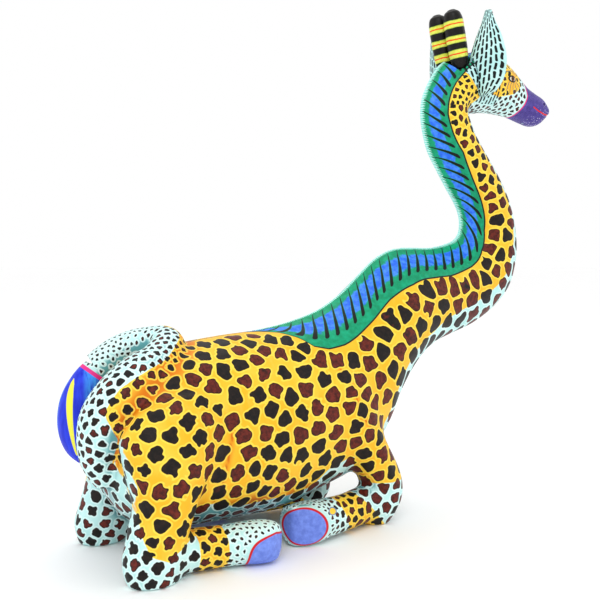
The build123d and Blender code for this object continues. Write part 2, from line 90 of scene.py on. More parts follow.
# ---- rings and level sets ----------------------------------------------------------
def crom(tab, n):
    t = np.asarray(tab, float)
    m = len(t)
    p = np.vstack([2 * t[0] - t[1], t, 2 * t[-1] - t[-2]])
    out = []
    for i in range(m - 1):
        a, b, c, d = p[i], p[i + 1], p[i + 2], p[i + 3]
        for u in np.arange(n) / n:
            out.append(0.5 * ((2 * b) + (c - a) * u + (2 * a - 5 * b + 4 * c - d) * u * u + (3 * b - a - 3 * c + d) * u ** 3))
    out.append(t[-1])
    return np.array(out)


def rings_body(tab, n=6, N=72):
    t = crom([(c[0], c[1], b[0], b[1], w, r) for c, b, w, r in tab], n)
    th = np.linspace(0, 2 * np.pi, N, endpoint=False)
    tt = np.minimum(th, 2 * np.pi - th)
    out = []
    for cx, cz, bx, bz, w, r in t:
        r = max(r, 0.0)
        C, B = np.array([cx, 0, cz]), np.array([bx, 0, bz])
        L = np.linalg.norm(C - B)
        nn = (C - B) / L
        a = (L - r) / 2
        phi = math.acos(a / (a + r))
        rho = np.where(tt < phi, 1 / np.cos(tt - phi), 1.0)
        out.append(B + a * nn + (a * rho * np.cos(th))[:, None] * nn + (w * rho * np.sin(th))[:, None] * np.array([0, 1.0, 0]))
    return out


def rings_head(tab, n=6, N=64):
    th = np.linspace(0, 2 * np.pi, N, endpoint=False)
    out = []
    for x, z, a, b, tl in crom(tab, n):
        q = math.radians(tl)
        nn = np.array([-math.sin(q), 0, math.cos(q)])
        out.append(np.array([x, 0, z]) + (a * np.cos(th))[:, None] * nn + (b * np.sin(th))[:, None] * np.array([0, 1.0, 0]))
    return out


def rings_flat(tab, n=6, N=56):
    th = np.linspace(0, 2 * np.pi, N, endpoint=False)
    return [np.stack([x + rx * np.cos(th), y + ry * np.sin(th), z + 0 * th], 1) for x, y, z, rx, ry in crom(tab, n)]


def rings_path(tab, n=6, N=56):
    t = crom(tab, n)
    if t.shape[1] == 4:
        t = np.hstack([t, t[:, 3:4]])
    d = np.gradient(t[:, :3], axis=0)
    d /= np.linalg.norm(d, axis=1)[:, None]
    th = np.linspace(0, 2 * np.pi, N, endpoint=False)
    side = np.cross([0, 0, 1.0], d[0]) if abs(d[0][2]) < 0.9 else np.array([0, 1.0, 0])
    out = []
    for q, dd in zip(t, d):
        side = side - dd * np.dot(side, dd)
        side /= np.linalg.norm(side)
        up = np.cross(dd, side)
        out.append(q[:3] + (q[3] * np.cos(th))[:, None] * up + (q[4] * np.sin(th))[:, None] * side)
    return out


def closed(rings):
    N = len(rings[0])
    V = np.vstack(rings + [rings[0].mean(0)[None], rings[-1].mean(0)[None]])
    i = np.arange(N)
    j = (i + 1) % N
    F = []
    for k in range(len(rings) - 1):
        a = k * N
        F += [np.stack([a + i, a + j, a + N + j], 1), np.stack([a + i, a + N + j, a + N + i], 1)]
    c0, c1, a = len(V) - 2, len(V) - 1, (len(rings) - 1) * N
    F += [np.stack([j, i, 0 * i + c0], 1), np.stack([a + i, a + j, 0 * i + c1], 1)]
    F = np.vstack(F)
    v = V[F]
    if np.einsum("ij,ij->i", v[:, 0], np.cross(v[:, 1], v[:, 2])).sum() < 0:
        F = F[:, ::-1]
    return V, F


def mirror(rings):
    return [r * np.array([1, -1, 1]) for r in rings]


def smin(a, b, k):
    h = np.maximum(k - np.abs(a - b), 0) / k
    return np.minimum(a, b) - h * h * k * 0.25


def smax(a, b, k):
    return -smin(-a, -b, k)


class Grid:
    """A box of voxels, with signed distances in mm."""

    def __init__(s, h, lo, hi, band):
        s.h, s.band = h, band
        s.i0 = np.floor(np.array(lo) / h).astype(int)
        s.shape = tuple(np.ceil(np.array(hi) / h).astype(int) - s.i0 + 1)
        s.D = np.full(s.shape, band, np.float32)

    def field(s, rings):
        V, F = closed(rings)
        tr = openvdb.createLinearTransform(voxelSize=s.h)
        g = openvdb.FloatGrid.createLevelSetFromPolygons(
            np.ascontiguousarray(V, dtype=np.float32), triangles=np.ascontiguousarray(F, dtype=np.uint32),
            transform=tr, halfWidth=s.band / s.h)
        lo = np.maximum(np.floor((V.min(0) - s.band) / s.h).astype(int), s.i0)
        hi = np.minimum(np.ceil((V.max(0) + s.band) / s.h).astype(int), s.i0 + np.array(s.shape) - 1)
        a = np.zeros(tuple(hi - lo + 1), dtype=np.float32)
        g.copyToArray(a, ijk=tuple(int(q) for q in lo))
        return lo, a

    def join(s, A, B, k):
        lo = np.minimum(A[0], B[0])
        hi = np.maximum(A[0] + A[1].shape, B[0] + B[1].shape)
        out = []
        for f in (A, B):
            X = np.full(tuple(hi - lo), s.band, np.float32)
            o, z = f[0] - lo, f[1].shape
            X[o[0]:o[0] + z[0], o[1]:o[1] + z[1], o[2]:o[2] + z[2]] = f[1]
            out.append(X)
        return lo, smin(out[0], out[1], k).astype(np.float32)

    def view(s, f):
        o, z = f[0] - s.i0, f[1].shape
        return s.D[o[0]:o[0] + z[0], o[1]:o[1] + z[1], o[2]:o[2] + z[2]]

    def add(s, f, k):
        v = s.view(f)
        v[...] = smin(v, f[1], k) if k else np.minimum(v, f[1])

    def coords(s, lo, shape):
        return [((np.arange(shape[d]) + lo[d]) * s.h).reshape([-1 if e == d else 1 for e in range(3)]) for d in range(3)]

    def mesh(s, D=None):
        D = s.D if D is None else D
        g = openvdb.FloatGrid(3 * s.h)
        g.transform = openvdb.createLinearTransform(voxelSize=s.h)
        g.copyFromArray(np.clip(D, -3 * s.h, 3 * s.h).astype(np.float32), ijk=tuple(int(q) for q in s.i0))
        P, Q = g.convertToQuads(isovalue=0.0)
        return np.asarray(P, dtype=np.float64), np.asarray(Q, dtype=np.int64)


def sample(h, f, P, bg):
    lo, a = f
    q = P / h - lo
    i = np.floor(q).astype(int)
    t = q - i
    s = np.array(a.shape)
    ok = ((i >= 0) & (i < s - 1)).all(1)
    i = np.clip(i, 0, s - 2)
    r = 0
    for dx in (0, 1):
        for dy in (0, 1):
            for dz in (0, 1):
                w = (t[:, 0] if dx else 1 - t[:, 0]) * (t[:, 1] if dy else 1 - t[:, 1]) * (t[:, 2] if dz else 1 - t[:, 2])
                r = r + w * a[i[:, 0] + dx, i[:, 1] + dy, i[:, 2] + dz]
    return np.where(ok, r, bg)


def shifted(tab, s, upper):
    if upper:
        return [(x - s * min(max((88 - z) / 62, 0), 1), y, z, a, b) for x, y, z, a, b in tab]
    return [(x - s, y, z, a, b) for x, y, z, a, b in tab]


def hoof_cut(G, f, centre, normal, off, k):
    lo, a = f
    X, Y, Z = G.coords(lo, a.shape)
    n = np.array(normal) / np.linalg.norm(normal)
    d = (X - centre[0]) * n[0] + (Y - centre[1]) * n[1] + (Z - centre[2]) * n[2] - off
    near = (X - centre[0]) ** 2 + (Y - centre[1]) ** 2 + (Z - centre[2]) ** 2 < 20 ** 2
    b = np.where(near, smax(a, d, k), a)
    return lo, b.astype(np.float32)


# ---- the figure without the head: one field, cut up later ---------------------------
H = 0.9
G = Grid(H, (-26, -60, -4), (322, 60, 313), 11.0)
fbody = G.field(rings_body(BODY))
fhead = G.field(rings_head(HEAD))


def leg(up, low, side, k=4.0):
    ru, rl = rings_flat(up), rings_path(low)
    if side < 0:
        ru, rl = mirror(ru), mirror(rl)
    return G.join(G.field(ru), G.field(rl), k)


legs = {}
for name, side in (("left", 1), ("right", -1)):
    hind = leg(HIND_UPPER, HIND_LOWER, side)
    hind = hoof_cut(G, hind, (64, side * 49, 9), (0.5, side * 0.86, 0.05), 0.8, 3)
    back = FORE_LEFT_BACK if side > 0 else 0
    fore = leg(shifted(FORE_UPPER, back, True), shifted(FORE_LOWER, back, False), side)
    fore = hoof_cut(G, fore, (91.2 - back, side * 34.8, 11), (-0.60, side * 0.80, 0.05), 0.9, 1.8)
    legs["hindleg_" + name], legs["foreleg_" + name] = hind, fore
tail = G.join(G.field(rings_path(TAIL_RISE)), G.field(rings_path(TUFT)), 1.5)
G.add(fbody, 0)
G.add(fhead, 5)
bodyonly = (G.i0, G.D.copy())
for n, k in (("hindleg_left", 4.5), ("hindleg_right", 4.5), ("foreleg_left", 5), ("foreleg_right", 5)):
    G.add(legs[n], k)
core = (G.i0, G.D.copy())
G.add(tail, 2.2)
zz = G.coords(G.i0, G.shape)[2]
G.D = smax(G.D, (-zz + 0.0).astype(np.float32), 0.8)
FIELD = (G.i0, G.D)
P0, Q0 = G.mesh()


# ---- exact cutting of a triangle mesh by a scalar -----------------------------------
def tris(Q):
    return np.vstack([Q[:, [0, 1, 2]], Q[:, [0, 2, 3]]])


def cut(V, T, g, extra):
    """Cuts along g = 0. Returns both sides as (V, T, extra) and keeps the cut points shared."""
    g = np.where(np.abs(g) < 1e-9, 1e-9, g)
    s = g > 0
    st = s[T]
    n = st.sum(1)
    keep_pos, keep_neg = T[n == 3], T[n == 0]
    mixed = T[(n == 1) | (n == 2)]
    sm = s[mixed]
    one = sm.sum(1) == 1                      # the odd corner is positive
    odd = np.where(one[:, None], sm, ~sm).argmax(1)
    r = np.arange(len(mixed))
    a, b, c = mixed[r, odd], mixed[r, (odd + 1) % 3], mixed[r, (odd + 2) % 3]
    key, idx = [], {}
    ab = np.stack([np.minimum(a, b), np.maximum(a, b)], 1)
    ac = np.stack([np.minimum(a, c), np.maximum(a, c)], 1)
    E, inv = np.unique(np.vstack([ab, ac]), axis=0, return_inverse=True)
    inv = inv.ravel()
    t = (g[E[:, 0]] / (g[E[:, 0]] - g[E[:, 1]]))[:, None]
    t = np.clip(t, 0.002, 0.998)
    NV = V[E[:, 0]] * (1 - t) + V[E[:, 1]] * t
    NX = extra[E[:, 0]] * (1 - t) + extra[E[:, 1]] * t
    V2, X2 = np.vstack([V, NV]), np.vstack([extra, NX])
    m = len(mixed)
    iab, iac = inv[:m] + len(V), inv[m:] + len(V)
    tip = np.stack([a, iab, iac], 1)
    quad = np.vstack([np.stack([iab, b, c], 1), np.stack([iab, c, iac], 1)])
    o2 = np.concatenate([one, one])
    pos = np.vstack([keep_pos, tip[one], quad[~o2]])
    neg = np.vstack([keep_neg, tip[~one], quad[o2]])
    return V2, X2, pos, neg


def compact(V, X, T):
    used, inv = np.unique(T, return_inverse=True)
    return V[used], X[used], inv.reshape(T.shape)


def biggest(T, nv):
    """The largest connected part of a triangle mesh."""
    lab = np.arange(nv)
    for _ in range(400):
        m = lab[T].min(1)
        new = lab.copy()
        for k in range(3):
            np.minimum.at(new, T[:, k], m)
        new = new[new]
        if (new == lab).all():
            break
        lab = new
    l = lab[T[:, 0]]
    v, c = np.unique(l, return_counts=True)
    return l == v[c.argmax()]


def cap(V, X, T):
    """Closes every open loop with a fan to its own centre."""
    e = np.vstack([T[:, [0, 1]], T[:, [1, 2]], T[:, [2, 0]]])
    fw = e[:, 0] * (len(V) + 1) + e[:, 1]
    bw = e[:, 1] * (len(V) + 1) + e[:, 0]
    open_e = e[~np.isin(fw, bw)]
    if not len(open_e):
        return V, X, T, np.zeros(len(T), bool)
    par = {}

    def root(q):
        while par.setdefault(q, q) != q:
            par[q] = par[par[q]]
            q = par[q]
        return q
    for a, b in open_e.tolist():
        par[root(a)] = root(b)
    rt = np.array([root(a) for a in open_e[:, 0].tolist()])
    addV, addX, addT = [], [], []
    for k in np.unique(rt):
        ed = open_e[rt == k]
        c = V[np.unique(ed)].mean(0)
        ci = len(V) + len(addV)
        addV.append(c)
        addX.append(X[ed[0, 0]])
        addT.append(np.stack([ed[:, 1], ed[:, 0], np.full(len(ed), ci)], 1))
    nt = np.vstack([T] + addT)
    flag = np.zeros(len(nt), bool)
    flag[len(T):] = True
    return np.vstack([V, addV]), np.vstack([X, addX]), nt, flag


def vnormals(V, T):
    n = np.cross(V[T[:, 1]] - V[T[:, 0]], V[T[:, 2]] - V[T[:, 0]])
    out = np.zeros_like(V)
    for k in range(3):
        np.add.at(out, T[:, k], n)
    return out / np.maximum(np.linalg.norm(out, axis=1), 1e-12)[:, None]


def refine(V, X, T):
    e = np.sort(np.vstack([T[:, [0, 1]], T[:, [1, 2]], T[:, [2, 0]]]), axis=1)
    E, inv = np.unique(e, axis=0, return_inverse=True)
    inv = inv.ravel() + len(V)
    m = len(T)
    ab, bc, ca = inv[:m], inv[m:2 * m], inv[2 * m:]
    V2 = np.vstack([V, (V[E[:, 0]] + V[E[:, 1]]) / 2])
    X2 = np.vstack([X, (X[E[:, 0]] + X[E[:, 1]]) / 2])
    T2 = np.vstack([np.stack([T[:, 0], ab, ca], 1), np.stack([ab, T[:, 1], bc], 1),
                    np.stack([ca, bc, T[:, 2]], 1), np.stack([ab, bc, ca], 1)])
    return V2, X2, T2


# ---- where a point is on the body: station, angle, crest length ----------------------
ST = crom([(c[0], c[1], b[0], b[1], w, r) for c, b, w, r in BODY], 6)
ARC = np.concatenate([[0], np.cumsum(np.hypot(np.diff(ST[:, 0]), np.diff(ST[:, 1])))])


def body_coords(P):
    n = len(P)
    best, T = np.full(n, 1e9), np.zeros(n)
    x, z = P[:, 0], P[:, 2]
    prev = None
    for k in range(len(ST)):
        cx, cz, bx, bz = ST[k, :4]
        dx, dz = cx - bx, cz - bz
        cr = dx * (z - bz) - dz * (x - bx)
        q = ((x - bx) * dx + (z - bz) * dz) / (dx * dx + dz * dz)
        if prev is not None:
            pc, pq = prev
            ch = (pc <= 0) & (cr > 0)
            f = np.where(ch, pc / (pc - cr + 1e-12), 0)
            sc = np.abs(pq + (q - pq) * f - 0.5)
            u = ch & (sc < best)
            best[u] = sc[u]
            T[u] = (k - 1 + f)[u]
        else:
            T[cr > 0] = 0
        prev = (cr, q)
    last = (prev[0] < 0) & (best > 1e8) & (x > 200)
    T[last] = len(ST) - 1.001
    i = np.clip(T.astype(int), 0, len(ST) - 2)
    f = (T - i)[:, None]
    s = ST[i] * (1 - f) + ST[i + 1] * f
    C, B = s[:, [0, 1]], s[:, [2, 3]]
    L = np.linalg.norm(C - B, axis=1)
    nn = (C - B) / L[:, None]
    a = (L - s[:, 5]) / 2
    h = ((P[:, [0, 2]] - B) * nn).sum(1) - a
    phi = np.degrees(np.arctan2(np.abs(P[:, 1]) / s[:, 4], h / a))
    return T / 6, phi, ARC[i] * (1 - f[:, 0]) + ARC[i + 1] * f[:, 0], (a + s[:, 4]) / 2


# ---- spots ---------------------------------------------------------------------------
def clumps(P, N, radius, allow, seed, grow=None):
    """Scatters hand-painted blobs over points P. Returns the signed distance to the nearest and its own number."""
    rng = np.random.default_rng(seed)
    n = len(P)
    sd, rnd = np.full(n, 3.0), np.zeros(n)
    kd = KDTree(n)
    for i, p in enumerate(P.tolist()):
        kd.insert(p, i)
    kd.balance()
    dead = ~allow
    order = rng.permutation(np.nonzero(allow)[0])
    gap = 1.66 * radius + 0.70
    grow = np.ones(n) if grow is None else grow
    seeds = []
    for i in order.tolist():
        if dead[i]:
            continue
        near = kd.find_range(P[i], gap[i])
        idx = np.fromiter((q[1] for q in near), int, len(near))
        dead[idx[(N[idx] @ N[i]) > 0.1]] = True
        dead[i] = True
        seeds.append(i)
    # even the spacing out: each blob moves to the middle of its own share
    pool = np.nonzero(allow)[0]
    kp = KDTree(len(pool))
    for j, i in enumerate(pool.tolist()):
        kp.insert(P[i], j)
    kp.balance()
    for _ in range(2):
        C, CN = P[seeds], N[seeds]
        kc = KDTree(len(seeds))
        for i, p in enumerate(C.tolist()):
            kc.insert(p, i)
        kc.balance()
        own = np.fromiter((kc.find(P[i])[1] for i in pool.tolist()), int, len(pool))
        good = (N[pool] * CN[own]).sum(1) > 0.3
        w = np.bincount(own[good], minlength=len(seeds)).astype(float)
        M = np.stack([np.bincount(own[good], P[pool[good], a], minlength=len(seeds)) for a in range(3)], 1)
        for q in range(len(seeds)):
            if w[q] > 3:
                i = int(pool[kp.find(M[q] / w[q])[1]])
                if N[i] @ CN[q] > 0.3:
                    seeds[q] = i
    C, CN = P[seeds], N[seeds]
    kc = KDTree(len(seeds))
    for i, p in enumerate(C.tolist()):
        kc.insert(p, i)
    kc.balance()
    for q, i in enumerate(seeds):
        r = radius[i] * grow[i] * rng.uniform(0.94, 1.16)
        near = kd.find_range(P[i], r * 1.6 + 2.0)
        idx = np.fromiter((w[1] for w in near), int, len(near))
        dist = np.fromiter((w[2] for w in near), float, len(near))
        nn = N[i]
        same = (N[idx] @ nn) > 0.1
        t1 = np.cross(nn, [0.31, 0.2, 0.93])
        t1 /= np.linalg.norm(t1)
        t2 = np.cross(nn, t1)
        e = P[idx] - P[i]
        flat = e - (e @ nn)[:, None] * nn
        k = np.minimum(dist / np.maximum(np.linalg.norm(flat, axis=1), 1e-6), 1.6)
        x, y = (flat @ t1) * k, (flat @ t2) * k
        a0 = rng.uniform(0, 2 * np.pi)
        m = int(rng.integers(3, 6)) if r > 1.3 else int(rng.integers(2, 4))
        d = np.hypot(x, y) - r * 0.64
        for j in range(m):
            a = a0 + 2 * np.pi * j / m + rng.uniform(-0.4, 0.4)
            o = r * rng.uniform(0.46, 0.78)
            rr = r * rng.uniform(0.30, 0.54)
            d = smin(d, np.hypot(x - o * math.cos(a), y - o * math.sin(a)) - rr, 0.22 * r)
        if rng.random() < 0.6:
            a = rng.uniform(0, 2 * np.pi)
            o = r * rng.uniform(0.80, 1.0)
            d = smax(d, r * rng.uniform(0.24, 0.40) - np.hypot(x - o * math.cos(a), y - o * math.sin(a)), 0.15 * r)
        apart = 0.42 + 0.085 * min(r, 5.0)
        for _, w, dd in kc.find_range(P[i], 2.4 * r + 2.5):
            if w != q and dd > 1e-6 and CN[w] @ nn > 0:
                ax = (C[w] - P[i]) / dd
                d = smax(d, (e @ ax) - dd / 2 + apart, 0.24 * r)
        d = np.where(same, d, 3.0)
        u = d < sd[idx]
        v = rng.random()
        sd[idx[u]] = d[u]
        rnd[idx[u]] = v
    return np.clip(sd, -3, 3), rnd


def seg_xz(P, pts):
    d = np.full(len(P), 1e9)
    for (x0, z0), (x1, z1) in zip(pts[:-1], pts[1:]):
        ax, az = x1 - x0, z1 - z0
        t = np.clip(((P[:, 0] - x0) * ax + (P[:, 2] - z0) * az) / (ax * ax + az * az), 0, 1)
        d = np.minimum(d, np.hypot(P[:, 0] - x0 - t * ax, P[:, 2] - z0 - t * az))
    return d


def crease(P, N, h, f, bg, d):
    """0 in the open, rising to 1 deep in a crease."""
    return np.clip(1 - sample(h, f, P + N * d, bg) / d, -0.3, 1)


TAILC = crom(TAIL_RISE, 6)[:, :3]
TAILC = TAILC[: 7 * 6 + 1]          # rising limb and the bend


def common(P, N, h, f, bg):
    t, phi, u, R = body_coords(P)
    A = {}
    edge = lookup(MANE_EDGE, t)
    A["mane_v"] = np.clip(phi / np.maximum(edge, 1.0), 0, 3)
    A["mane_d"] = np.clip(np.radians(phi - edge) * R, -30, 12)
    A["mane_u"] = u
    A["under"] = np.zeros(len(P))
    A["mane_l"] = np.interp(u, [105, 200, 280, 330, 400], [16, 21, 17, 16, 17]) * A["mane_v"]
    A["ell"] = np.full(len(P), 3.0)
    A["mane_w"] = np.radians(edge) * R
    # painted shade: darker paint deep in creases, part the carving's own airbrushed crease colour and part painted
    # shade standing in for the shade there
    A["crease_paint_and_shade"] = np.maximum(crease(P, N, h, f, bg, 4.0 if bg < 8 else 5.0), crease(P, N, h, f, bg, 4.5 if bg < 8 else 9.0) * 1.15)
    return t, phi, R, A


def torso_paint(P, N, kind):
    t, phi, R, A = common(P, N, H, FIELD, 11.0)
    n = len(P)
    x, y, z = P[:, 0], P[:, 1], P[:, 2]
    ay = np.abs(y)
    pale = np.radians(phi - lookup(PALE_EDGE, t)) * R
    pale = np.maximum(pale, np.where((x < 30) & (z < 92), lookup(HAUNCH_X, z) - x, -50))
    pale = np.maximum(pale, np.where((x < 14) & (t < 5), 48 - z, -50))
    hoof = np.full(n, 30.0)
    rad = np.full(n, 4.0)
    # spots grow over the shoulder, then shrink up the neck
    rad = np.interp(t, [0, 2, 6.5, 8.2, 9.3, 12.5, 14.5, 17, 18.5, 20, 22, 24, 26, 29], [3.9, 4.6, 4.9, 5.5, 6.0, 6.0, 5.7, 5.1, 4.5, 3.9, 3.1, 2.4, 2.0, 1.7])
    rad = np.where((x < 4) & (t < 4), np.minimum(rad, 3.3), rad)
    rad = np.where((t < 9) & (z < 26), np.minimum(rad, 3.6), rad)
    if kind.startswith("hindleg"):
        A["mane_v"][:] = 3.0
        A["mane_d"][:] = 12.0
        thigh = np.minimum(z - lookup(THIGH_Z, x), x - lookup(HAUNCH_X, z))
        band = 7.3 - np.abs(x - 34.8)
        pale = -np.maximum(thigh, np.where(z < 23, band, -30))
        q = (np.abs((x - 66.5) / 14.6) ** 2.5 + np.abs((z - 5.5) / 10.6) ** 2.5) ** 0.4
        dh = (q - 1) * 11.5
        dh = np.where(x > 66.5, np.maximum(z - 16.1 + 0.30 * (x - 66.5), -6), dh)
        hoof = np.where(x > 46, dh, 30.0)
        sgn = 1 if kind.endswith("left") else -1
        pale = np.maximum(pale, np.where(z < 62, -N[:, 1] * sgn * 9 - 1.5, -20))
        rad = np.interp(x, [-20, 8, 20, 40, 46, 60], [3.2, 4.3, 3.6, 2.4, 1.15, 1.0])
        rad = np.where(z > 24, np.where(x < 0, 3.6, 4.7), np.minimum(rad, 3.2))
    if kind.startswith("foreleg"):
        A["mane_v"][:] = 3.0
        A["mane_d"][:] = 12.0
        xs = x + (FORE_LEFT_BACK if kind.endswith("left") else 0) * np.clip((88 - z) / 62, 0, 1)
        band = np.minimum(xs - (115 + 0.43 * (18.8 - z)), ((130 + (20.8 - z)) - xs) / 1.35)
        pale = -np.maximum(z - 25.5, band)
        pale = np.where((z > 40), -20.0, pale)
        side = np.where(kind.endswith("left"), 1, -1)
        c = np.array([92.6 - (FORE_LEFT_BACK if kind.endswith("left") else 0), side * 34.0, 11.0])
        nn = np.array([-0.62, side * 0.78, 0.05])
        nn /= np.linalg.norm(nn)
        e = P - c
        en = e @ nn
        er = e - en[:, None] * nn
        dd = np.hypot(np.hypot(er[:, 0], er[:, 1]) / 1.24, er[:, 2]) - 9.7
        hoof = np.where(en > -7, dd, 30.0)
        hoof = np.maximum(hoof, -en - 5.0)
        rad = np.interp(xs, [100, 108, 116, 134, 150, 170], [0.9, 1.15, 2.2, 3.2, 3.8, 3.8])
        rad = np.where(z > 26, 4.6, rad)
        ell = np.hypot((xs - 108) / 2.3, (z - 17.1) / 1.35)
        A["ell"] = np.where(ay > 34, (ell - 1) * 1.5, 3.0)
    blue = np.full(n, 30.0)
    if kind == "tail":
        A["mane_v"][:] = 3.0
        A["mane_d"][:] = 12.0
        d2 = np.full(n, 1e9)
        ef, ey = np.zeros(n), np.zeros(n)
        for a, b in zip(TAILC[:-1], TAILC[1:]):
            ax = b - a
            L2 = ax @ ax
            s = np.clip(((P - a) @ ax) / L2, 0, 1)
            e = P - a - s[:, None] * ax
            dd = (e ** 2).sum(1)
            u = dd < d2
            w = ax / math.sqrt(L2)
            fwd = np.array([w[2], 0, -w[0]])
            fwd = fwd / max(np.linalg.norm(fwd), 1e-6)
            d2[u] = dd[u]
            ef[u] = (e @ fwd)[u]
            ey[u] = e[u, 1]
        falling = (y > 9.0) & (x < 26)
        pale = np.where(falling, 20.0, -(ef + np.interp(z, [62, 67, 73, 80, 90, 97, 104, 110], [-0.1, 0.0, 0.35, 0.85, 0.9, 0.6, 0.35, 0.2]) * np.abs(ey)))
        pale = np.where(y > 9, 20.0, pale)
        sd = (P - np.array([-4.2, 14.5, 93.8])) @ np.array([-0.60, 0.1, -0.79])
        blue = -np.minimum(sd, (y - 8.5))
        ang = np.arctan2(-ef, -ey)             # 0 facing the right side, rising towards the back
        rad = np.interp(np.degrees(ang), [-180, -40, 0, 60, 105, 180], [1.0, 1.5, 2.6, 2.5, 1.0, 0.9])
        rad = np.where(falling, 0.95, rad)
        rad = np.where((z > 100) & (y < 9), np.minimum(rad, 1.6), rad)
        A["tuft_y"] = y
    # lines of darker paint along the shoulder and the thigh
    if kind != "tail":
        for pts, fade in (([(114.8, 93), (120.4, 82.8), (122.8, 74), (126, 65.6), (133.7, 58.8)], 1.0),
                          ([(46.9, 73), (45.4, 64.8), (43.4, 53.6), (42, 44.7), (40.4, 32.4), (38, 22)], 1.0)):
            dl = seg_xz(P, pts)
            on = np.where(ay > 24, fade, 0) * np.clip((z - 20) / 6, 0, 1)
            # a thin painted line, inside a wider soft band of painted shade along the crease
            A["crease_paint_and_shade"] = np.maximum(A["crease_paint_and_shade"], on * np.maximum(0.85 * np.exp(-(dl / 0.55) ** 2), 0.42 * np.exp(-(dl / 3.2) ** 2)))
    # painted shade along the crease where the tail root meets the rump, darker nearer the crease
    if kind in ("tail", "torso", "hindleg_right", "hindleg_left"):
        lf, bf = sample(H, tail, P, 11.0), sample(H, core, P, 11.0)
        near = (np.abs(lf) < 10.5) & (np.abs(bf) < 10.5) & (z > 55) & (x < 45)
        line = np.where(near, 0.72 * np.clip(1.10 - (np.abs(lf) + np.abs(bf)) / (9.0 if kind == "tail" else 11.0), 0, 1), 0)
        A["crease_paint_and_shade"] = np.maximum(A["crease_paint_and_shade"], line)
    A["pale"] = np.clip(pale, -20, 20)
    # painted shade on the belly: the pale paint darkens towards the underside
    A["under"] = np.clip(np.where(t < 9.5, (phi - 140) / 30, 0), 0, 1) * (z < 60) if kind == "torso" else np.zeros(n)
    A["hoof"] = np.clip(hoof, -5, 5)
    A["blue"] = np.clip(blue, -5, 5)
    allow = (A["mane_d"] > rad * 0.74) & (hoof > rad + 0.6) & (blue > rad + 1.0)
    allow &= (A["mane_d"] > 0.5) & (z > 0.4)
    return A, rad, allow


# ---- meshes to Blender ---------------------------------------------------------------
def make(name, V, T, A, N, mat, body, node, capflag=None):
    me = bpy.data.meshes.new(name)
    W = (V - np.array([DX, 0, 0])) * 0.001
    me.vertices.add(len(V))
    me.vertices.foreach_set("co", W.astype(np.float32).ravel())
    me.loops.add(3 * len(T))
    me.loops.foreach_set("vertex_index", T.astype(np.int32).ravel())
    me.polygons.add(len(T))
    me.polygons.foreach_set("loop_start", np.arange(0, 3 * len(T), 3, dtype=np.int32))
    me.polygons.foreach_set("use_smooth", np.ones(len(T), bool))
    me.update(calc_edges=True)
    me.validate()
    if N is not None:
        me.normals_split_custom_set_from_vertices([tuple(q) for q in N.tolist()])
    for k, v in A.items():
        at = me.attributes.new(k, "FLOAT", "POINT")
        at.data.foreach_set("value", np.asarray(v, np.float32))
    ob = bpy.data.objects.new(name, me)
    bpy.context.scene.collection.objects.link(ob)
    me.materials.append(mat)
    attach(ob, body)
    if node:
        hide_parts(node)
    return ob


# ---- small node language -------------------------------------------------------------
def lin(hexcol):
    c = [int(hexcol[i:i + 2], 16) / 255 for i in (1, 3, 5)]
    return tuple((q / 12.92 if q <= 0.04045 else ((q + 0.055) / 1.055) ** 2.4) for q in c) + (1.0,)


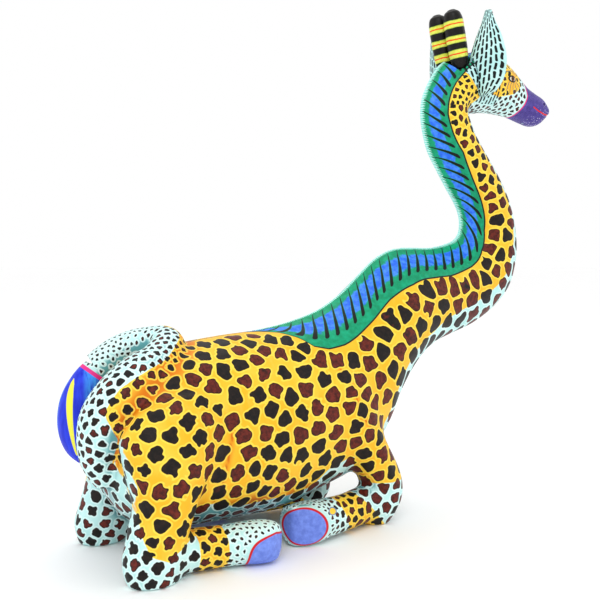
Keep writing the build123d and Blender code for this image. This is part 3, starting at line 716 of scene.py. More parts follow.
class Paint:
    def __init__(s, name):
        s.m = bpy.data.materials.new(name)
        s.m.use_nodes = True
        s.nt = s.m.node_tree
        s.nt.nodes.clear()
        s.out = s.nt.nodes.new("ShaderNodeOutputMaterial")
        s.b = s.nt.nodes.new("ShaderNodeBsdfPrincipled")
        s.nt.links.new(s.b.outputs[0], s.out.inputs[0])
        s.tc = s.nt.nodes.new("ShaderNodeTexCoord").outputs["Object"]
        s._a = {}

    def put(s, sock, v):
        if isinstance(v, bpy.types.NodeSocket):
            s.nt.links.new(v, sock)
        else:
            sock.default_value = v

    def math(s, op, a, b=0.0, c=None):
        n = s.nt.nodes.new("ShaderNodeMath")
        n.operation = op
        s.put(n.inputs[0], a)
        s.put(n.inputs[1], b)
        if c is not None:
            s.put(n.inputs[2], c)
        return n.outputs[0]

    def add(s, a, b): return s.math("ADD", a, b)
    def sub(s, a, b): return s.math("SUBTRACT", a, b)
    def mul(s, a, b): return s.math("MULTIPLY", a, b)
    def mx(s, a, b): return s.math("MAXIMUM", a, b)
    def mn(s, a, b): return s.math("MINIMUM", a, b)

    def attr(s, name):
        if name not in s._a:
            n = s.nt.nodes.new("ShaderNodeAttribute")
            n.attribute_type = "GEOMETRY"
            n.attribute_name = name
            s._a[name] = n.outputs["Fac"]
        return s._a[name]

    def ramp(s, x, a, b, lo=0.0, hi=1.0):
        """Smooth from lo at a to hi at b."""
        n = s.nt.nodes.new("ShaderNodeMapRange")
        n.interpolation_type = "SMOOTHSTEP"
        s.put(n.inputs["Value"], x)
        if a > b:
            a, b, lo, hi = b, a, hi, lo
        n.inputs["From Min"].default_value = a
        n.inputs["From Max"].default_value = b
        n.inputs["To Min"].default_value = lo
        n.inputs["To Max"].default_value = hi
        return n.outputs[0]

    def below(s, x, edge, w=0.10):
        return s.ramp(x, edge + w, edge - w)

    def mix(s, f, a, b):
        n = s.nt.nodes.new("ShaderNodeMix")
        n.data_type = "RGBA"
        s.put(n.inputs[0], f)
        s.put(n.inputs[6], lin(a) if isinstance(a, str) else a)
        s.put(n.inputs[7], lin(b) if isinstance(b, str) else b)
        return n.outputs[2]

    def noise(s, size, detail=2.0, rough=0.5, stretch=None, seed=0.0):
        """Noise with cells of that size in mm, about 0..1 round 0.5."""
        v = s.tc
        if stretch or seed:
            n = s.nt.nodes.new("ShaderNodeMapping")
            s.nt.links.new(v, n.inputs[0])
            n.inputs[1].default_value = (seed, seed * 0.7, -seed)
            if stretch:
                n.inputs[3].default_value = stretch
            v = n.outputs[0]
        n = s.nt.nodes.new("ShaderNodeTexNoise")
        s.nt.links.new(v, n.inputs["Vector"])
        n.inputs["Scale"].default_value = 1000.0 / size
        n.inputs["Detail"].default_value = detail
        n.inputs["Roughness"].default_value = rough
        return n.outputs["Fac"]

    def dots(s, size, r, seed=0.0):
        """Round dots of radius r (fraction of a cell), 1 inside."""
        n = s.nt.nodes.new("ShaderNodeTexVoronoi")
        s.nt.links.new(s.tc, n.inputs["Vector"])
        n.inputs["Scale"].default_value = 1000.0 / size
        n.inputs["Randomness"].default_value = 0.75
        return s.ramp(n.outputs["Distance"], r * 1.15, r * 0.85)

    def finish(s, col, rough, height, dist=0.00012, spec=0.22, coat=0.0):
        s.put(s.b.inputs["Base Color"], col)
        s.put(s.b.inputs["Roughness"], rough)
        s.b.inputs["Specular IOR Level"].default_value = spec
        if coat:
            s.b.inputs["Coat Weight"].default_value = coat
            s.b.inputs["Coat Roughness"].default_value = 0.25
        n = s.nt.nodes.new("ShaderNodeBump")
        n.inputs["Strength"].default_value = 1.0
        n.inputs["Distance"].default_value = dist
        s.put(n.inputs["Height"], height)
        s.nt.links.new(n.outputs[0], s.b.inputs["Normal"])
        return s.m


def spot_layer(M, ground, halo, w_halo=0.72):
    """Halo, black-brown and red-brown blobs over a ground colour."""
    wob = M.mul(M.sub(M.noise(1.5, 2.0, 0.6), 0.5), 0.35)
    d = M.add(M.attr("spot"), wob)
    r = M.attr("spot_id")
    col = M.mix(M.mul(M.ramp(d, w_halo + 0.2, w_halo - 0.2), 0.72), ground, halo)
    brush = M.noise(2.2, 3.0, 0.65, seed=3.1)
    patch = M.noise(4.0, 1.0, 0.5, seed=7.7)
    # share of red: none for most dark blobs, nearly full for the others
    share = M.add(M.ramp(r, 0.50, 0.60), M.mul(M.sub(patch, 0.5), 1.1))
    red = M.mul(M.ramp(share, 0.35, 0.65), M.ramp(d, -0.25, -0.65))
    darkc = M.mix(M.ramp(brush, 0.35, 0.75), "#0d0908", "#241812")
    redc = M.mix(M.ramp(brush, 0.3, 0.75), "#3f100a", "#74271a")
    blob = M.mix(red, darkc, redc)
    inside = M.below(d, 0.0, 0.12)
    return M.mix(inside, col, blob), inside


def ground_layer(M):
    wash = M.noise(22.0, 2.0, 0.5, seed=1.3)
    fine = M.noise(1.1, 3.0, 0.7, seed=9.0)
    brushy = M.noise(5.0, 3.0, 0.6, stretch=(1.0, 1.0, 0.35), seed=2.0)
    crease_paint_and_shade = M.attr("crease_paint_and_shade")
    yel = M.mix(M.ramp(wash, 0.35, 0.75), "#f7b61e", "#fcc838")
    yel = M.mix(M.mul(M.ramp(brushy, 0.45, 0.8), 0.30), yel, "#ffd55e")
    # painted shade in creases: yellow darkens to orange and then brown, pale to deep teal; part of it is the carving's
    # own airbrushed crease colour
    yel = M.mix(M.ramp(crease_paint_and_shade, 0.12, 0.66), yel, "#dd7c06")
    yel = M.mix(M.mul(M.ramp(crease_paint_and_shade, 0.6, 0.9), 0.55), yel, "#9a4507")
    pal = M.mix(M.ramp(wash, 0.3, 0.75), "#b4e6e4", "#cdf4f2")
    pal = M.mix(M.mul(M.ramp(brushy, 0.5, 0.8), 0.35), pal, "#d9f8f5")
    pal = M.mix(M.ramp(crease_paint_and_shade, 0.12, 0.70), pal, "#5fa3a9")
    # painted shade: the belly's pale paint darkened to slate
    pal = M.mix(M.mul(M.attr("under"), 0.5), pal, "#3f6f7c")
    edge = M.add(M.attr("pale"), M.mul(M.sub(M.noise(3.0, 2.0, 0.5, seed=5.0), 0.5), 0.8))
    f = M.ramp(edge, -0.18, 0.18)
    return M.mix(f, yel, pal), f, fine


def body_material():
    M = Paint("painted_carving")
    ground, isp, fine = ground_layer(M)
    halo = M.mix(isp, "#ffe252", "#e3fbf8")
    col, blob = spot_layer(M, ground, halo)
    # mane
    v, u, w, md = M.attr("mane_v"), M.attr("mane_u"), M.attr("mane_w"), M.attr("mane_d")
    jit = M.mul(M.sub(M.noise(14.0, 1.0, 0.5, seed=4.4), 0.5), 1.2)
    s = M.math("DIVIDE", M.add(M.add(u, M.attr("mane_l")), jit), 7.4)
    fr = M.math("FRACT", s, 0.0)
    du = M.mul(M.math("ABSOLUTE", M.sub(fr, 0.5)), 7.4)
    vv = M.mn(v, 0.76)
    half = M.add(0.08, M.mul(vv, 1.85))
    ev = M.mul(M.mx(M.sub(v, 0.76), 0.0), w)
    stroke_d = M.sub(M.math("SQRT", M.add(M.mul(du, du), M.mul(ev, ev))), half)
    stroke = M.mul(M.below(stroke_d, 0.0, 0.13), M.ramp(v, 0.03, 0.08))
    gnoise = M.noise(3.4, 3.0, 0.6, seed=6.0)
    green = M.mix(M.ramp(gnoise, 0.3, 0.75), "#008a5e", "#0ca87a")
    vj = M.add(v, M.mul(M.sub(M.noise(3.0, 2.0, 0.5, seed=8.0), 0.5), 0.16))
    az = M.mul(M.mul(M.ramp(vj, 0.20, 0.26), M.ramp(vj, 0.68, 0.61)), M.ramp(stroke_d, 0.15, 0.45))
    blue = M.mix(M.ramp(gnoise, 0.35, 0.7), "#2266e6", "#4a90fb")
    mane = M.mix(az, green, blue)
    dist_crest = M.mul(v, w)
    fru = M.math("FRACT", M.math("DIVIDE", M.add(u, M.mul(M.noise(2.0, 1.0, 0.5, seed=2.2), 1.2)), 1.15), 0.0)
    fr_len = M.add(0.35, M.mul(M.math("ABSOLUTE", M.sub(fru, 0.5)), 2.6))
    fringe = M.ramp(M.sub(dist_crest, fr_len), 0.15, -0.15)
    mane = M.mix(fringe, mane, M.mix(M.ramp(fru, 0.3, 0.6), "#d9fbf6", "#7fe0d4"))
    mane = M.mix(stroke, mane, "#060c0b")
    # painted shade: the mane's green darkens in creases
    mane = M.mix(M.mul(M.ramp(M.attr("crease_paint_and_shade"), 0.15, 0.7), 0.5), mane, "#00563f")
    mm = M.below(md, 0.0, 0.08)
    col = M.mix(mm, col, mane)
    line = M.sub(M.math("ABSOLUTE", M.sub(md, 0.15)), 0.48)
    col = M.mix(M.mul(M.below(line, 0.0, 0.1), M.ramp(v, 0.15, 0.4)), col, "#15201c")
    # hooves
    hn = M.noise(2.4, 3.0, 0.6, seed=11.0)
    hd = M.attr("hoof")
    hoofc = M.mix(M.ramp(hn, 0.3, 0.75), "#667fdc", "#7f9bf2")
    col = M.mix(M.below(hd, 0.0, 0.1), col, hoofc)
    rim = M.sub(M.math("ABSOLUTE", hd), 0.48)
    col = M.mix(M.below(rim, 0.0, 0.12), col, "#cc1820")
    fine_h = M.mul(fine, 0.10)
    height = M.add(M.add(M.mul(blob, 0.30), fine_h), M.mul(M.noise(9.0, 2.0, 0.5, seed=12.0), 0.9))
    height = M.add(height, M.mul(M.mul(stroke, mm), 0.35))
    rough = M.ramp(M.noise(6.0, 2.0, 0.6, seed=13.0), 0.2, 0.8, 0.40, 0.56)
    return M, col, rough, height


def torso_material():
    M, col, rough, height = body_material()
    return M.finish(col, rough, height, 0.00022)


def limb_material():
    M, col, rough, height = body_material()
    M.m.name = "painted_limb"
    e = M.attr("ell")
    col = M.mix(M.below(M.sub(e, 0.55), 0.0, 0.1), col, "#7c8fb0")
    col = M.mix(M.below(e, 0.0, 0.1), col, "#ffd23c")
    return M.finish(col, rough, height, 0.00022)


def tail_material():
    M, col, rough, height = body_material()
    M.m.name = "painted_tail"
    b = M.attr("blue")
    y = M.attr("tuft_y")
    n1 = M.noise(3.0, 3.0, 0.6, stretch=(1.0, 1.0, 0.2), seed=1.0)
    blue = M.mix(M.ramp(n1, 0.25, 0.8), "#1526c4", "#2c46ea")
    streak = M.mx(M.ramp(M.attr("tuft_a"), 0.55, 0.9), 0.0)
    blue = M.mix(M.mul(streak, M.ramp(n1, 0.3, 0.6)), blue, "#3f9bff")
    blue = M.mix(M.below(M.attr("tuft_drop"), 0.0, 0.12), blue, "#f6ef4e")
    col = M.mix(M.below(b, 0.0, 0.1), col, blue)
    col = M.mix(M.below(M.sub(M.math("ABSOLUTE", b), 1.0), 0.0, 0.1), col, "#e5308a")
    return M.finish(col, rough, height, 0.00022)


def ear_dashes(M):
    """Short strokes in staggered columns along the ear."""
    eu, ev = M.attr("ear_u"), M.attr("ear_v")
    j = M.mul(M.sub(M.noise(5.0, 1.0, 0.5, seed=3.0), 0.5), 0.55)
    cu = M.add(M.math("DIVIDE", eu, 3.0), j)
    ci = M.math("FLOOR", cu, 0.0)
    fu = M.mul(M.sub(M.sub(cu, ci), 0.5), 3.0)
    shift = M.math("FRACT", M.mul(ci, 0.618), 0.0)
    cv = M.add(M.math("DIVIDE", ev, 5.0), shift)
    fv = M.mul(M.math("ABSOLUTE", M.sub(M.math("FRACT", cv, 0.0), 0.5)), 5.0)
    ex = M.math("ABSOLUTE", fu)
    ey = M.mx(M.sub(fv, 1.35), 0.0)
    d = M.sub(M.math("SQRT", M.add(M.mul(ex, ex), M.mul(ey, ey))), 0.78)
    return M.below(d, 0.0, 0.12)


def head_material():
    M, col, rough, height = body_material()
    M.m.name = "painted_head"
    # dashes carried down from the ear on to the cheek
    dash = M.mul(ear_dashes(M), M.ramp(M.attr("dash_m"), 0.0, 0.4))
    col = M.mix(dash, col, "#050b0a")
    m = M.attr("muzzle")
    mun = M.noise(2.6, 3.0, 0.6, seed=1.0)
    mc = M.mix(M.ramp(mun, 0.3, 0.75), "#413282", "#56479a")
    mc = M.mix(M.mul(M.mul(M.dots(1.5, 0.26), M.attr("lip")), 0.75), mc, "#cfc6ea")
    col = M.mix(M.below(m, 0.0, 0.08), col, mc)
    col = M.mix(M.below(M.sub(M.math("ABSOLUTE", m), 0.62), 0.0, 0.08), col, "#e2307c")
    col = M.mix(M.below(M.attr("mouth"), 0.42, 0.1), col, "#e0211f")
    col = M.mix(M.below(M.attr("nostril"), 0.0, 0.15), col, "#1a1330")
    col = M.mix(M.below(M.attr("eye"), 0.0, 0.08), col, "#e9e2cc")
    col = M.mix(M.below(M.attr("iris"), 0.0, 0.08), col, "#6b3a16")
    col = M.mix(M.below(M.attr("pupil"), 0.0, 0.08), col, "#0c0a0a")
    col = M.mix(M.below(M.sub(M.math("ABSOLUTE", M.sub(M.attr("eye"), 0.15)), 0.55), 0.0, 0.08), col, "#17110f")
    col = M.mix(M.below(M.attr("lash"), 0.33, 0.1), col, "#5d6466")
    return M.finish(col, rough, height, 0.00018)


def ear_material():
    M = Paint("painted_ear")
    wash = M.noise(14.0, 2.0, 0.5, seed=1.3)
    col = M.mix(M.ramp(wash, 0.3, 0.75), "#b4e6e4", "#cdf4f2")
    # painted shade: the pale paint darkens to teal near the head
    col = M.mix(M.ramp(M.attr("crease_paint_and_shade"), 0.2, 0.9), col, "#7fb9bd")
    dash = ear_dashes(M)
    front = M.attr("ear_f")
    inner = M.mix(M.ramp(front, 0.2, -0.2), col, "#f49a2a")
    inner = M.mix(M.ramp(front, -1.5, -2.1), inner, "#e5308a")
    keep = M.ramp(front, 0.2, 0.5)
    col = M.mix(M.mul(dash, keep), M.mix(M.ramp(front, 0.3, -0.1), col, inner), "#050b0a")
    height = M.add(M.mul(M.mul(dash, keep), 0.3), M.mul(M.noise(7.0, 2.0, 0.5, seed=12.0), 0.6))
    rough = M.ramp(M.noise(6.0, 2.0, 0.6, seed=13.0), 0.2, 0.8, 0.42, 0.56)
    return M.finish(col, rough, height, 0.0002)


def horn_material():
    M = Paint("painted_horn")
    wob = M.mul(M.sub(M.noise(5.0, 2.0, 0.5, seed=2.0), 0.5), 0.9)
    h = M.add(M.attr("horn_h"), wob)
    n1 = M.noise(2.2, 3.0, 0.6, seed=4.0)
    black = M.mix(M.ramp(n1, 0.35, 0.8), "#080706", "#1b1814")
    yel = M.mix(M.ramp(n1, 0.3, 0.75), "#d6df45", "#ecef72")
    col = black
    for a, b in ((7.2, 12.1), (16.2, 20.6), (25.3, 29.9)):
        mid, half = (a + b) / 2, (b - a) / 2
        d = M.math("ABSOLUTE", M.sub(h, mid))
        col = M.mix(M.below(d, half, 0.15), col, yel)
        col = M.mix(M.mul(M.below(M.math("ABSOLUTE", M.sub(d, half - 0.1)), 0.22, 0.2), 0.55), col, "#7fae3a")
        col = M.mix(M.below(d, 0.42, 0.15), col, "#f2551c")
    height = M.mul(M.noise(5.0, 3.0, 0.5, seed=12.0), 0.7)
    rough = M.ramp(n1, 0.2, 0.8, 0.34, 0.5)
    return M.finish(col, rough, height, 0.0002)


def wood_material():
    M = Paint("bare_copal_wood")
    n = M.nt.nodes.new("ShaderNodeMapping")
    M.nt.links.new(M.tc, n.inputs[0])
    n.inputs[3].default_value = (1.0, 1.0, 0.12)
    t = M.nt.nodes.new("ShaderNodeTexNoise")
    M.nt.links.new(n.outputs[0], t.inputs["Vector"])
    t.inputs["Scale"].default_value = 900.0
    t.inputs["Detail"].default_value = 5.0
    g = t.outputs["Fac"]
    col = M.mix(M.ramp(g, 0.3, 0.7), "#b98a55", "#dcb988")
    col = M.mix(M.mul(M.ramp(M.noise(0.6, 2.0, 0.5), 0.55, 0.75), 0.5), col, "#8d6236")
    return M.finish(col, M.ramp(g, 0.2, 0.8, 0.55, 0.75), g, 0.0001)


# ---- cut the figure into its pieces ----------------------------------------------------
T0 = tris(Q0)
N0 = vnormals(P0, T0)
C11, B11 = np.array(BODY[11][0], float), np.array(BODY[11][1], float)
nrm = np.array([(C11 - B11)[1], -(C11 - B11)[0]])
nrm /= np.linalg.norm(nrm)
if nrm[0] < 0:
    nrm = -nrm

done = {}
V, X, T = P0, N0, T0


def pull_off(name, g, near):
    """Takes off the part where g > 0, largest connected bit only; the rest stays."""
    global V, X, T
    V2, X2, pos, neg = cut(V, T, g, X)
    m = biggest(pos, len(V2)) if len(pos) else np.zeros(0, bool)
    part, back = pos[m], pos[~m]
    done[name] = compact(V2, X2, part)
    V, X, T = compact(V2, X2, np.vstack([neg, back]))


# above the saw cut at the top of the neck the finer head takes over
g = V[:, 2] - 247.0
V2, X2, pos, neg = cut(V, T, g, X)
V, X, T = compact(V2, X2, neg)
pull_off("tail", sample(H, core, V, 11.0) - sample(H, tail, V, 11.0) + np.where(V[:, 0] > 45, -50, 0), None)
for nm in ("hindleg_left", "hindleg_right", "foreleg_left", "foreleg_right"):
    sgn = 1 if nm.endswith("left") else -1
    g = sample(H, bodyonly, V, 11.0) - sample(H, legs[nm], V, 11.0)
    g = np.where(V[:, 1] * sgn < 6, np.minimum(g, -0.5), g)
    if nm.startswith("fore"):
        g = np.minimum(g, (96.0 - V[:, 2]) * 0.7)
        g = np.where(V[:, 0] < 76, -5, g)
    else:
        g = np.where(V[:, 0] > 78, -5, g)
    pull_off(nm, g, None)
g = (V[:, 0] - B11[0]) * nrm[0] + (V[:, 2] - B11[1]) * nrm[1]
V2, X2, pos, neg = cut(V, T, g, X)
done["neck"] = compact(V2, X2, pos)
done["torso"] = compact(V2, X2, neg)

# one set of blobs for the whole figure, so that they run across the joints
mats = {"torso": torso_material(), "neck": None, "tail": tail_material(), "limb": limb_material()}
mats["neck"] = mats["torso"]
parts, offs = [], [0]
for nm, (v, x, t) in done.items():
    if nm not in ("torso", "neck"):
        v, x, t = refine(v, x, t)
    x = x / np.maximum(np.linalg.norm(x, axis=1), 1e-9)[:, None]
    parts.append([nm, v, x, t])
    offs.append(offs[-1] + len(v))
data = [torso_paint(v, x, nm) for nm, v, x, t in parts]
ALLP = np.vstack([p[1] for p in parts])
ALLN = np.vstack([p[2] for p in parts])
RAD = np.concatenate([d[1] for d in data])
OKS = np.concatenate([d[2] for d in data])
# only the outer skin takes a blob, and shared seam points count once
GROW = np.concatenate([np.full(len(p[1]), 0.94) if p[0].startswith("hindleg") else np.interp(p[1][:, 0], [70, 110], [1.04, 1.13]) for p in parts])
spot, spot_id = clumps(ALLP, ALLN, RAD, OKS, 5, GROW)
for k, ((nm, v, x, t), (A, rad, ok)) in enumerate(zip(parts, data)):
    A["spot"] = spot[offs[k]:offs[k + 1]]
    A["spot_id"] = spot_id[offs[k]:offs[k + 1]]
    if nm == "tail":
        # teardrop on the tuft, pointing down and back, and pale streaks along its sides
        p = v - np.array([-8.5, 12.5, 87.0])
        ax = np.array([-0.30, 0.03, -0.95])
        ax /= np.linalg.norm(ax)
        s = p @ ax
        cx = v[:, 0] - (-5.5 - 0.10 * (92 - v[:, 2]))
        ry = (v[:, 1] - 22) * 0.0 + np.arctan2(v[:, 1] - 22.3, -(v[:, 0] + 6.5))
        A["tuft_drop"] = np.where(v[:, 1] > 8, np.abs(ry + 0.62 + 0.010 * (s - 12)) * 9.5 - np.interp(s, [-4, -2, 0, 6, 34, 36], [-1, 0.6, 1.7, 1.9, 0.5, -1]), 3.0)
        A["tuft_a"] = np.clip(np.abs(np.sin(ry * 1.0 + 0.62)), 0, 1)
    v2, x2, t2, cf = cap(v, x, t)
    extra = len(v2) - len(v)
    A = {q: np.concatenate([w, np.full(extra, w[0] if len(w) else 0)]) for q, w in A.items()}
    mat = mats["torso"] if nm in ("torso", "neck") else (mats["tail"] if nm == "tail" else mats["limb"])
    make("carved_" + nm, v2, t2, A, x2, mat, "carving", nm)

# ---- head, finer ---------------------------------------------------------------------
HH = 0.42
GH = Grid(HH, (192, -26, 238), (322, 26, 296), 6.0)
GH.add(GH.field(rings_body(BODY[21:])), 0)
GH.add(GH.field(rings_head(HEAD)), 5)
X3, Y3, Z3 = GH.coords(GH.i0, GH.shape)
AY = np.abs(Y3)


def ball(cx, cy, cz, rx, ry=None, rz=None):
    ry, rz = ry or rx, rz or rx
    q = np.sqrt(((X3 - cx) / rx) ** 2 + ((AY - cy) / ry) ** 2 + ((Z3 - cz) / rz) ** 2)
    return ((q - 1) * min(rx, ry, rz)).astype(np.float32)


D = GH.D
D = smin(D, ball(266.5, 12.6, 268.6, 4.4, 3.6, 3.4), 2.5)          # eyeball under the lid
D = smin(D, ball(263.0, 12.6, 272.8, 6.5, 2.6, 1.7), 3.0)          # brow
D = smax(D, -ball(306.5, 8.8, 257.0, 2.3, 1.6, 1.2), 0.8)          # nostril
D = smin(D, ball(310.0, 5.0, 253.2, 3.6, 4.2, 3.2), 3.0)           # lips
mline = [(294.5, 254.2), (300, 252.0), (306, 250.6), (317, 250.6)]
dm = np.full(GH.D.shape[0:1] + (1, GH.D.shape[2]), 1e9)
for (x0, z0), (x1, z1) in zip(mline[:-1], mline[1:]):
    ax, az = x1 - x0, z1 - z0
    tt = np.clip(((X3 - x0) * ax + (Z3 - z0) * az) / (ax * ax + az * az), 0, 1)
    dm = np.minimum(dm, np.hypot(X3 - x0 - tt * ax, Z3 - z0 - tt * az))
D = D + 0.55 * np.exp(-(dm / 0.55) ** 2)
hx, hz = HORN_DIR[0], HORN_DIR[2]
up = (X3 - HORN_FOOT[0]) * hx + (Z3 - HORN_FOOT[2]) * hz
fwd = (X3 - HORN_FOOT[0]) * hz - (Z3 - HORN_FOOT[2]) * hx
seat = np.maximum(np.maximum(-up, np.abs(fwd) - 6.8), np.maximum(AY - 13.5, up - 16))
D = smax(D, -seat.astype(np.float32) + 0 * D, 0.5)
hole = np.maximum(np.hypot(fwd, AY - HORN_FOOT[1]) - 2.56, np.abs(up + 9) - 9.5)
D = smax(D, -hole.astype(np.float32) + 0 * D, 0.3)
ea = (X3 - EAR_SEAT[0]) * 0 + (AY - EAR_SEAT[1]) * 0.6 + (Z3 - EAR_SEAT[2]) * 0.8
er = np.sqrt((X3 - EAR_SEAT[0]) ** 2 + ((AY - EAR_SEAT[1]) * 0.8 - (Z3 - EAR_SEAT[2]) * 0.6) ** 2)
eh = np.maximum(er - 2.06, np.abs(ea + 2.5) - 10.0)
D = smax(D, -eh.astype(np.float32) + 0 * D, 0.3)
GH.D = D.astype(np.float32)
HFIELD = (GH.i0, GH.D)
PH, QH = GH.mesh()
TH = tris(QH)
NH = vnormals(PH, TH)
V2, X2, pos, neg = cut(PH, TH, PH[:, 2] - 247.0 - np.where(PH[:, 0] > 262, -6.0, 0.0), NH)
# the muzzle side of the chin may dip below the saw cut; only the neck is sawn
g = np.where(PH[:, 0] > 256, 1.0, PH[:, 2] - 247.0)
V2, X2, pos, neg = cut(PH, TH, g, NH)
pos = pos[biggest(pos, len(V2))]
v, x, t = compact(V2, X2, pos)
x = x / np.maximum(np.linalg.norm(x, axis=1), 1e-9)[:, None]
tb, phi, R, A = common(v, x, HH, HFIELD, 6.0)
px, py, pz = v.T
# painted shade in the head's creases, a little weaker than on the body
A["crease_paint_and_shade"] = np.clip(A["crease_paint_and_shade"], -0.3, 1) * 0.8
apy = np.abs(py)
nape = np.interp(pz, [240, 243, 249.2, 253.7, 262, 268, 280], [228.5, 228.8, 234.4, 239.4, 230.5, 226, 220]) - px
face_z = np.interp(px, [244, 248, 256.8, 271, 276, 278.4, 280], [262, 257, 256, 259.4, 262.8, 265.2, 280])
facey = np.minimum(pz - face_z, 279.0 - px)
facey = np.where(px < 246, -5, facey)
A["pale"] = np.clip(-np.maximum(nape, facey), -20, 20)
mus = np.interp(pz, [244, 249, 255, 260.4, 264.4, 272], [279.5, 282, 285.2, 287.2, 286.4, 285.0])
A["muzzle"] = np.clip(mus - px, -10, 5)
A["mouth"] = seg_xz(v, mline)
A["lip"] = np.clip(1 - np.minimum(A["mouth"] / 4.2, np.hypot(px - 307, pz - 257) / 4.5), 0, 1) * 1.6
A["lip"] = np.clip(A["lip"] * np.clip((px - 296) / 5, 0, 1) + np.clip((250.5 - pz) / 4, 0, 1) * np.clip((px - 290) / 6, 0, 1), 0, 1)
A["nostril"] = np.where(apy > 4, np.hypot((px - 306.5) / 1.5, (pz - 257.0) / 1.0) * 1.0 - 1.0, 3.0)
eyed = np.hypot((px - 267.0) / 1.5, (pz - 268.4) / 0.78) - 2.2
A["eye"] = np.where(apy > 6, eyed, 3.0)
A["iris"] = np.where(apy > 6, np.maximum(np.hypot(px - 267.2, pz - 268.5) - 1.75, A["eye"] + 0.2), 3.0)
A["pupil"] = np.where(apy > 6, np.maximum(np.hypot(px - 267.3, pz - 268.6) - 0.95, A["eye"] + 0.3), 3.0)
lash = np.full(len(v), 5.0)
for x0, z0, x1, z1 in ((264.0, 266.3, 262.6, 260.4), (266.2, 265.8, 266.4, 259.6), (268.4, 266.0, 270.4, 260.2), (270.2, 267.0, 274.4, 261.6),
                       (271.4, 268.6, 277.2, 264.4)):
    lash = np.minimum(lash, seg_xz(v, [(x0, z0), ((x0 + x1) / 2 - 0.4, (z0 + z1) / 2), (x1, z1)]))
lash = np.minimum(lash, seg_xz(v, [(261.0, 272.4), (266.0, 273.6), (271.0, 272.2)]))
A["lash"] = np.where(apy > 6, lash, 5.0)
nx = -(nape - px) * 0 + (px + nape)          # nape boundary in x at this height
zone = np.minimum(np.minimum(px - nx, 257.0 - px), pz - (250.5 + 0.10 * np.abs(px - 244)))
A["dash_m"] = np.clip(zone, -4, 4)
A["ear_u"] = (px - 240) * 1.0 + 0.15 * (pz - 250)
A["ear_v"] = pz * 1.0
A["hoof"] = np.full(len(v), 5.0)
rad = np.where(A["pale"] < 0, 1.75, 1.75)
okh = (A["mane_d"] > 1.2) & (A["muzzle"] > 2.2) & (x[:, 2] > -2) & (A["eye"] > 1.6) & (zone < -0.6) & (lash > 1.6) & ~((up_h := (px - HORN_FOOT[0]) * hx + (pz - HORN_FOOT[2]) * hz) > -1.0)
A["spot"], A["spot_id"] = clumps(v, x, rad, okh, 9)
v2, x2, t2, cf = cap(v, x, t)
A = {q: np.concatenate([w, np.full(len(v2) - len(v), w[0])]) for q, w in A.items()}
make("carved_head", v2, t2, A, x2, head_material(), "carving", "head")

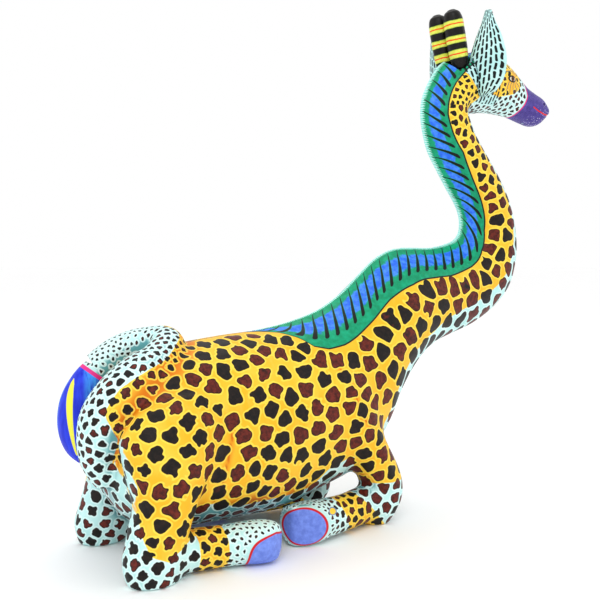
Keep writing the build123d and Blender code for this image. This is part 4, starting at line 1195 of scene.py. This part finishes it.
# ---- ears ------------------------------------------------------------------------------
HE = 0.45
earmat = ear_material()
for name, side in (("left", 1), ("right", -1)):
    lo, hi = (222, 2, 250), (256, 42, 309)
    if side < 0:
        lo, hi = (222, -42, 250), (256, -2, 309)
    GE = Grid(HE, lo, hi, 5.0)
    t8 = crom(EAR, 6)
    th = np.linspace(0, 2 * np.pi, 56, endpoint=False)
    sd3 = np.array([EAR_SIDE[0], EAR_SIDE[1] * side, 0.0])
    fr3 = np.array([EAR_SIDE[1], -EAR_SIDE[0] * side, 0.0])
    rr = [np.array([a, b * side, c]) + (w * np.cos(th))[:, None] * sd3 + (q * np.sin(th))[:, None] * fr3 for a, b, c, w, q in t8]
    f1 = GE.field(rr)
    GE.add(f1, 0)
    t5 = crom([EAR[2]] + EAR[3:7], 6)
    rc = [np.array([a, b * side, c]) + fr3 * (q * 1.15) + (w * 0.72 * np.cos(th))[:, None] * sd3 + (q * 0.85 * np.sin(th))[:, None] * fr3
          for a, b, c, w, q in t5]
    cupf = GE.field(rc)
    cup = np.full(GE.shape, 5.0, np.float32)
    o, z = cupf[0] - GE.i0, cupf[1].shape
    cup[o[0]:o[0] + z[0], o[1]:o[1] + z[1], o[2]:o[2] + z[2]] = cupf[1]
    D = smax(GE.D, -cup, 1.2)
    XX = np.stack(np.meshgrid(*[(np.arange(GE.shape[d]) + GE.i0[d]) * HE for d in range(3)], indexing="ij"), -1).reshape(-1, 3)
    hd = sample(HH, HFIELD, XX, 6.0).reshape(GE.shape)
    hl = np.sqrt((XX[:, 0] - EAR_SEAT[0]) ** 2 + ((XX[:, 1] * side - EAR_SEAT[1]) * 0.8 - (XX[:, 2] - EAR_SEAT[2]) * 0.6) ** 2).reshape(GE.shape)
    al = ((XX[:, 1] * side - EAR_SEAT[1]) * 0.6 + (XX[:, 2] - EAR_SEAT[2]) * 0.8).reshape(GE.shape)
    # the root left standing round the peg, down to the head
    D = smin(D, np.maximum(np.maximum(hl - 3.1, al - 9.3), -al - 3.0), 1.2)
    D = smax(D, (0.35 - hd), 0.35)
    D = smax(D, np.where(al < 8.2, 2.03 - hl, -3.0).astype(np.float32), 0.2)
    GE.D = D.astype(np.float32)
    P, Q = GE.mesh()
    T = tris(Q)
    T = T[biggest(T, len(P))]
    P, _, T = compact(P, P, T)
    n = vnormals(P, T)
    tab = np.array(EAR)
    cx, cy, wz = (np.interp(P[:, 2], tab[:, 2], tab[:, k]) for k in (0, 1, 3))
    ex = (P[:, 0] - cx) * sd3[0] + (P[:, 1] - cy * side) * sd3[1]
    tz = np.interp(P[:, 2], tab[:, 2], tab[:, 4])
    ef = (P[:, 0] - cx) * fr3[0] + (P[:, 1] - cy * side) * fr3[1]
    # painted shade: the ear's pale paint darkens where the ear comes close to the head
    A = {"ear_u": ex / np.maximum(wz, 3.0) * 11.5 + 0.4, "ear_v": P[:, 2] + 0.02 * ex ** 2,
         "ear_f": np.where((ef > -0.5 * tz) & (n @ fr3 > -0.1), np.minimum(np.abs(ex) - wz * 0.80, 3), 3.0),
         "crease_paint_and_shade": np.clip(1 - sample(HH, HFIELD, P + n * 1.5, 6.0) / 3.0, 0, 1)}
    front = sample(HE, (GE.i0, cup), P, 5.0)
    A["ear_f"] = np.clip(front - 0.25, -3, 3) * 1.0
    depth = (np.abs(ex) / np.maximum(wz * 0.72, 0.5))
    A["ear_f"] = np.where(front < 0.6, (depth - 0.86) * 4.0, 3.0)
    make("carved_ear_" + name, P, T, A, n, earmat, "ear_%s_body" % name, "ear_" + name)

# ---- horns: turned, with the blind bore of the peg --------------------------------------
hornmat = horn_material()
prof = crom([(h + 0.15, r) for h, r in HORN_PROFILE], 5)
pts = [(0.0001, 14.6), (2.2, 14.6), (2.56, 14.2)] + [(2.56, h) for h in np.linspace(12, 1, 6)] + [(2.56, 0.5), (2.8, 0.18)]
pts += [(r, 0.15) for r in np.linspace(3.2, 4.3, 3)] + [(r - (0.25 if k == 0 else 0), h) for k, (h, r) in enumerate(prof)]
h_top, r_top = prof[-1]
pts += [(r_top * 0.8, h_top + 0.35), (r_top * 0.5, h_top + 0.55), (r_top * 0.2, h_top + 0.62), (0.0001, h_top + 0.63)]
pts = np.array(pts)
nseg = 72
for name, side in (("left", 1), ("right", -1)):
    foot = np.array([HORN_FOOT[0], HORN_FOOT[1] * side, HORN_FOOT[2]])
    ax = np.array(HORN_DIR)
    e1, e2 = np.array([0, 1.0, 0]), np.cross(ax, [0, 1.0, 0])
    th = np.linspace(0, 2 * np.pi, nseg, endpoint=False)
    ripple = 1 + 0.010 * np.sin(5 * th + side) + 0.006 * np.sin(9 * th + 2 * side)
    rings = []
    for r, h in pts:
        rp = np.where(r > 3.3, ripple * (1 + 0.006 * np.sin(h * 0.7 + 3 * th)), 1.0)
        rings.append(foot + ax * h + (r * rp * np.cos(th))[:, None] * e1 + (r * rp * np.sin(th))[:, None] * e2)
    V, T = closed(rings)
    hh = np.concatenate([np.repeat(pts[:, 1], nseg), [14.6, h_top + 0.63]])
    V, _, T = refine(V, V, T)
    hh = (V - foot) @ ax
    make("carved_horn_" + name, V, T, {"horn_h": hh}, None, hornmat, "horn_%s_body" % name, "horn_" + name)

# ---- carried-over CAD nodes: dowels and pegs in bare wood --------------------------------
wood = wood_material()
for nm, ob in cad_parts.items():
    if nm.startswith("dowel") or "_peg_" in nm:
        ob.data.materials.clear()
        ob.data.materials.append(wood)

# ---- floor, light, camera ----------------------------------------------------------------
me = bpy.data.meshes.new("floor")
me.from_pydata([(-20, -20, 0), (20, -20, 0), (20, 20, 0), (-20, 20, 0)], [], [(0, 1, 2, 3)])
floor = bpy.data.objects.new("floor", me)
bpy.context.scene.collection.objects.link(floor)
F = Paint("pale_floor")
me.materials.append(F.finish(F.mix(F.mul(F.noise(300.0, 2.0, 0.5), 0.04), "#ffffff", "#f4f4f4"), 0.85, F.noise(20.0), 0.00001, spec=0.1))
floor.location.z = -0.0002

scene = bpy.context.scene
world = bpy.data.worlds.new("studio")
scene.world = world
world.use_nodes = True
bg = world.node_tree.nodes.get("Background") or world.node_tree.nodes.new("ShaderNodeBackground")
bg.inputs[0].default_value = (1.0, 1.0, 1.0, 1.0)
bg.inputs[1].default_value = 1.0
scene.view_settings.view_transform = "Standard"


def area(name, loc, target, size, power):
    li = bpy.data.lights.new(name, "AREA")
    li.shape = "DISK"
    li.size = size
    li.energy = power
    ob = bpy.data.objects.new(name, li)
    scene.collection.objects.link(ob)
    ob.location = loc
    ob.rotation_euler = (Vector(target) - Vector(loc)).to_track_quat("-Z", "Y").to_euler()


area("key", (-0.75, -0.85, 1.15), (0, 0, 0.12), 0.7, 4.5)
area("fill", (0.9, -0.9, 0.6), (0, 0, 0.12), 0.9, 1.0)
area("top", (0.1, 0.4, 1.4), (0, 0, 0.1), 0.9, 2.0)

cam = bpy.data.cameras.new("camera")
cam.sensor_width = 36.0
cam.lens = 48.0
cam.clip_start = 0.01
camo = bpy.data.objects.new("camera", cam)
scene.collection.objects.link(camo)
camo.location = (-0.285886, -0.378352, 0.149)
pit = math.atan(37 / 800)
look = Vector((0.55193699 * math.cos(pit), 0.83388582 * math.cos(pit), -math.sin(pit)))
camo.rotation_euler = look.to_track_quat("-Z", "Y").to_euler()
scene.camera = camo
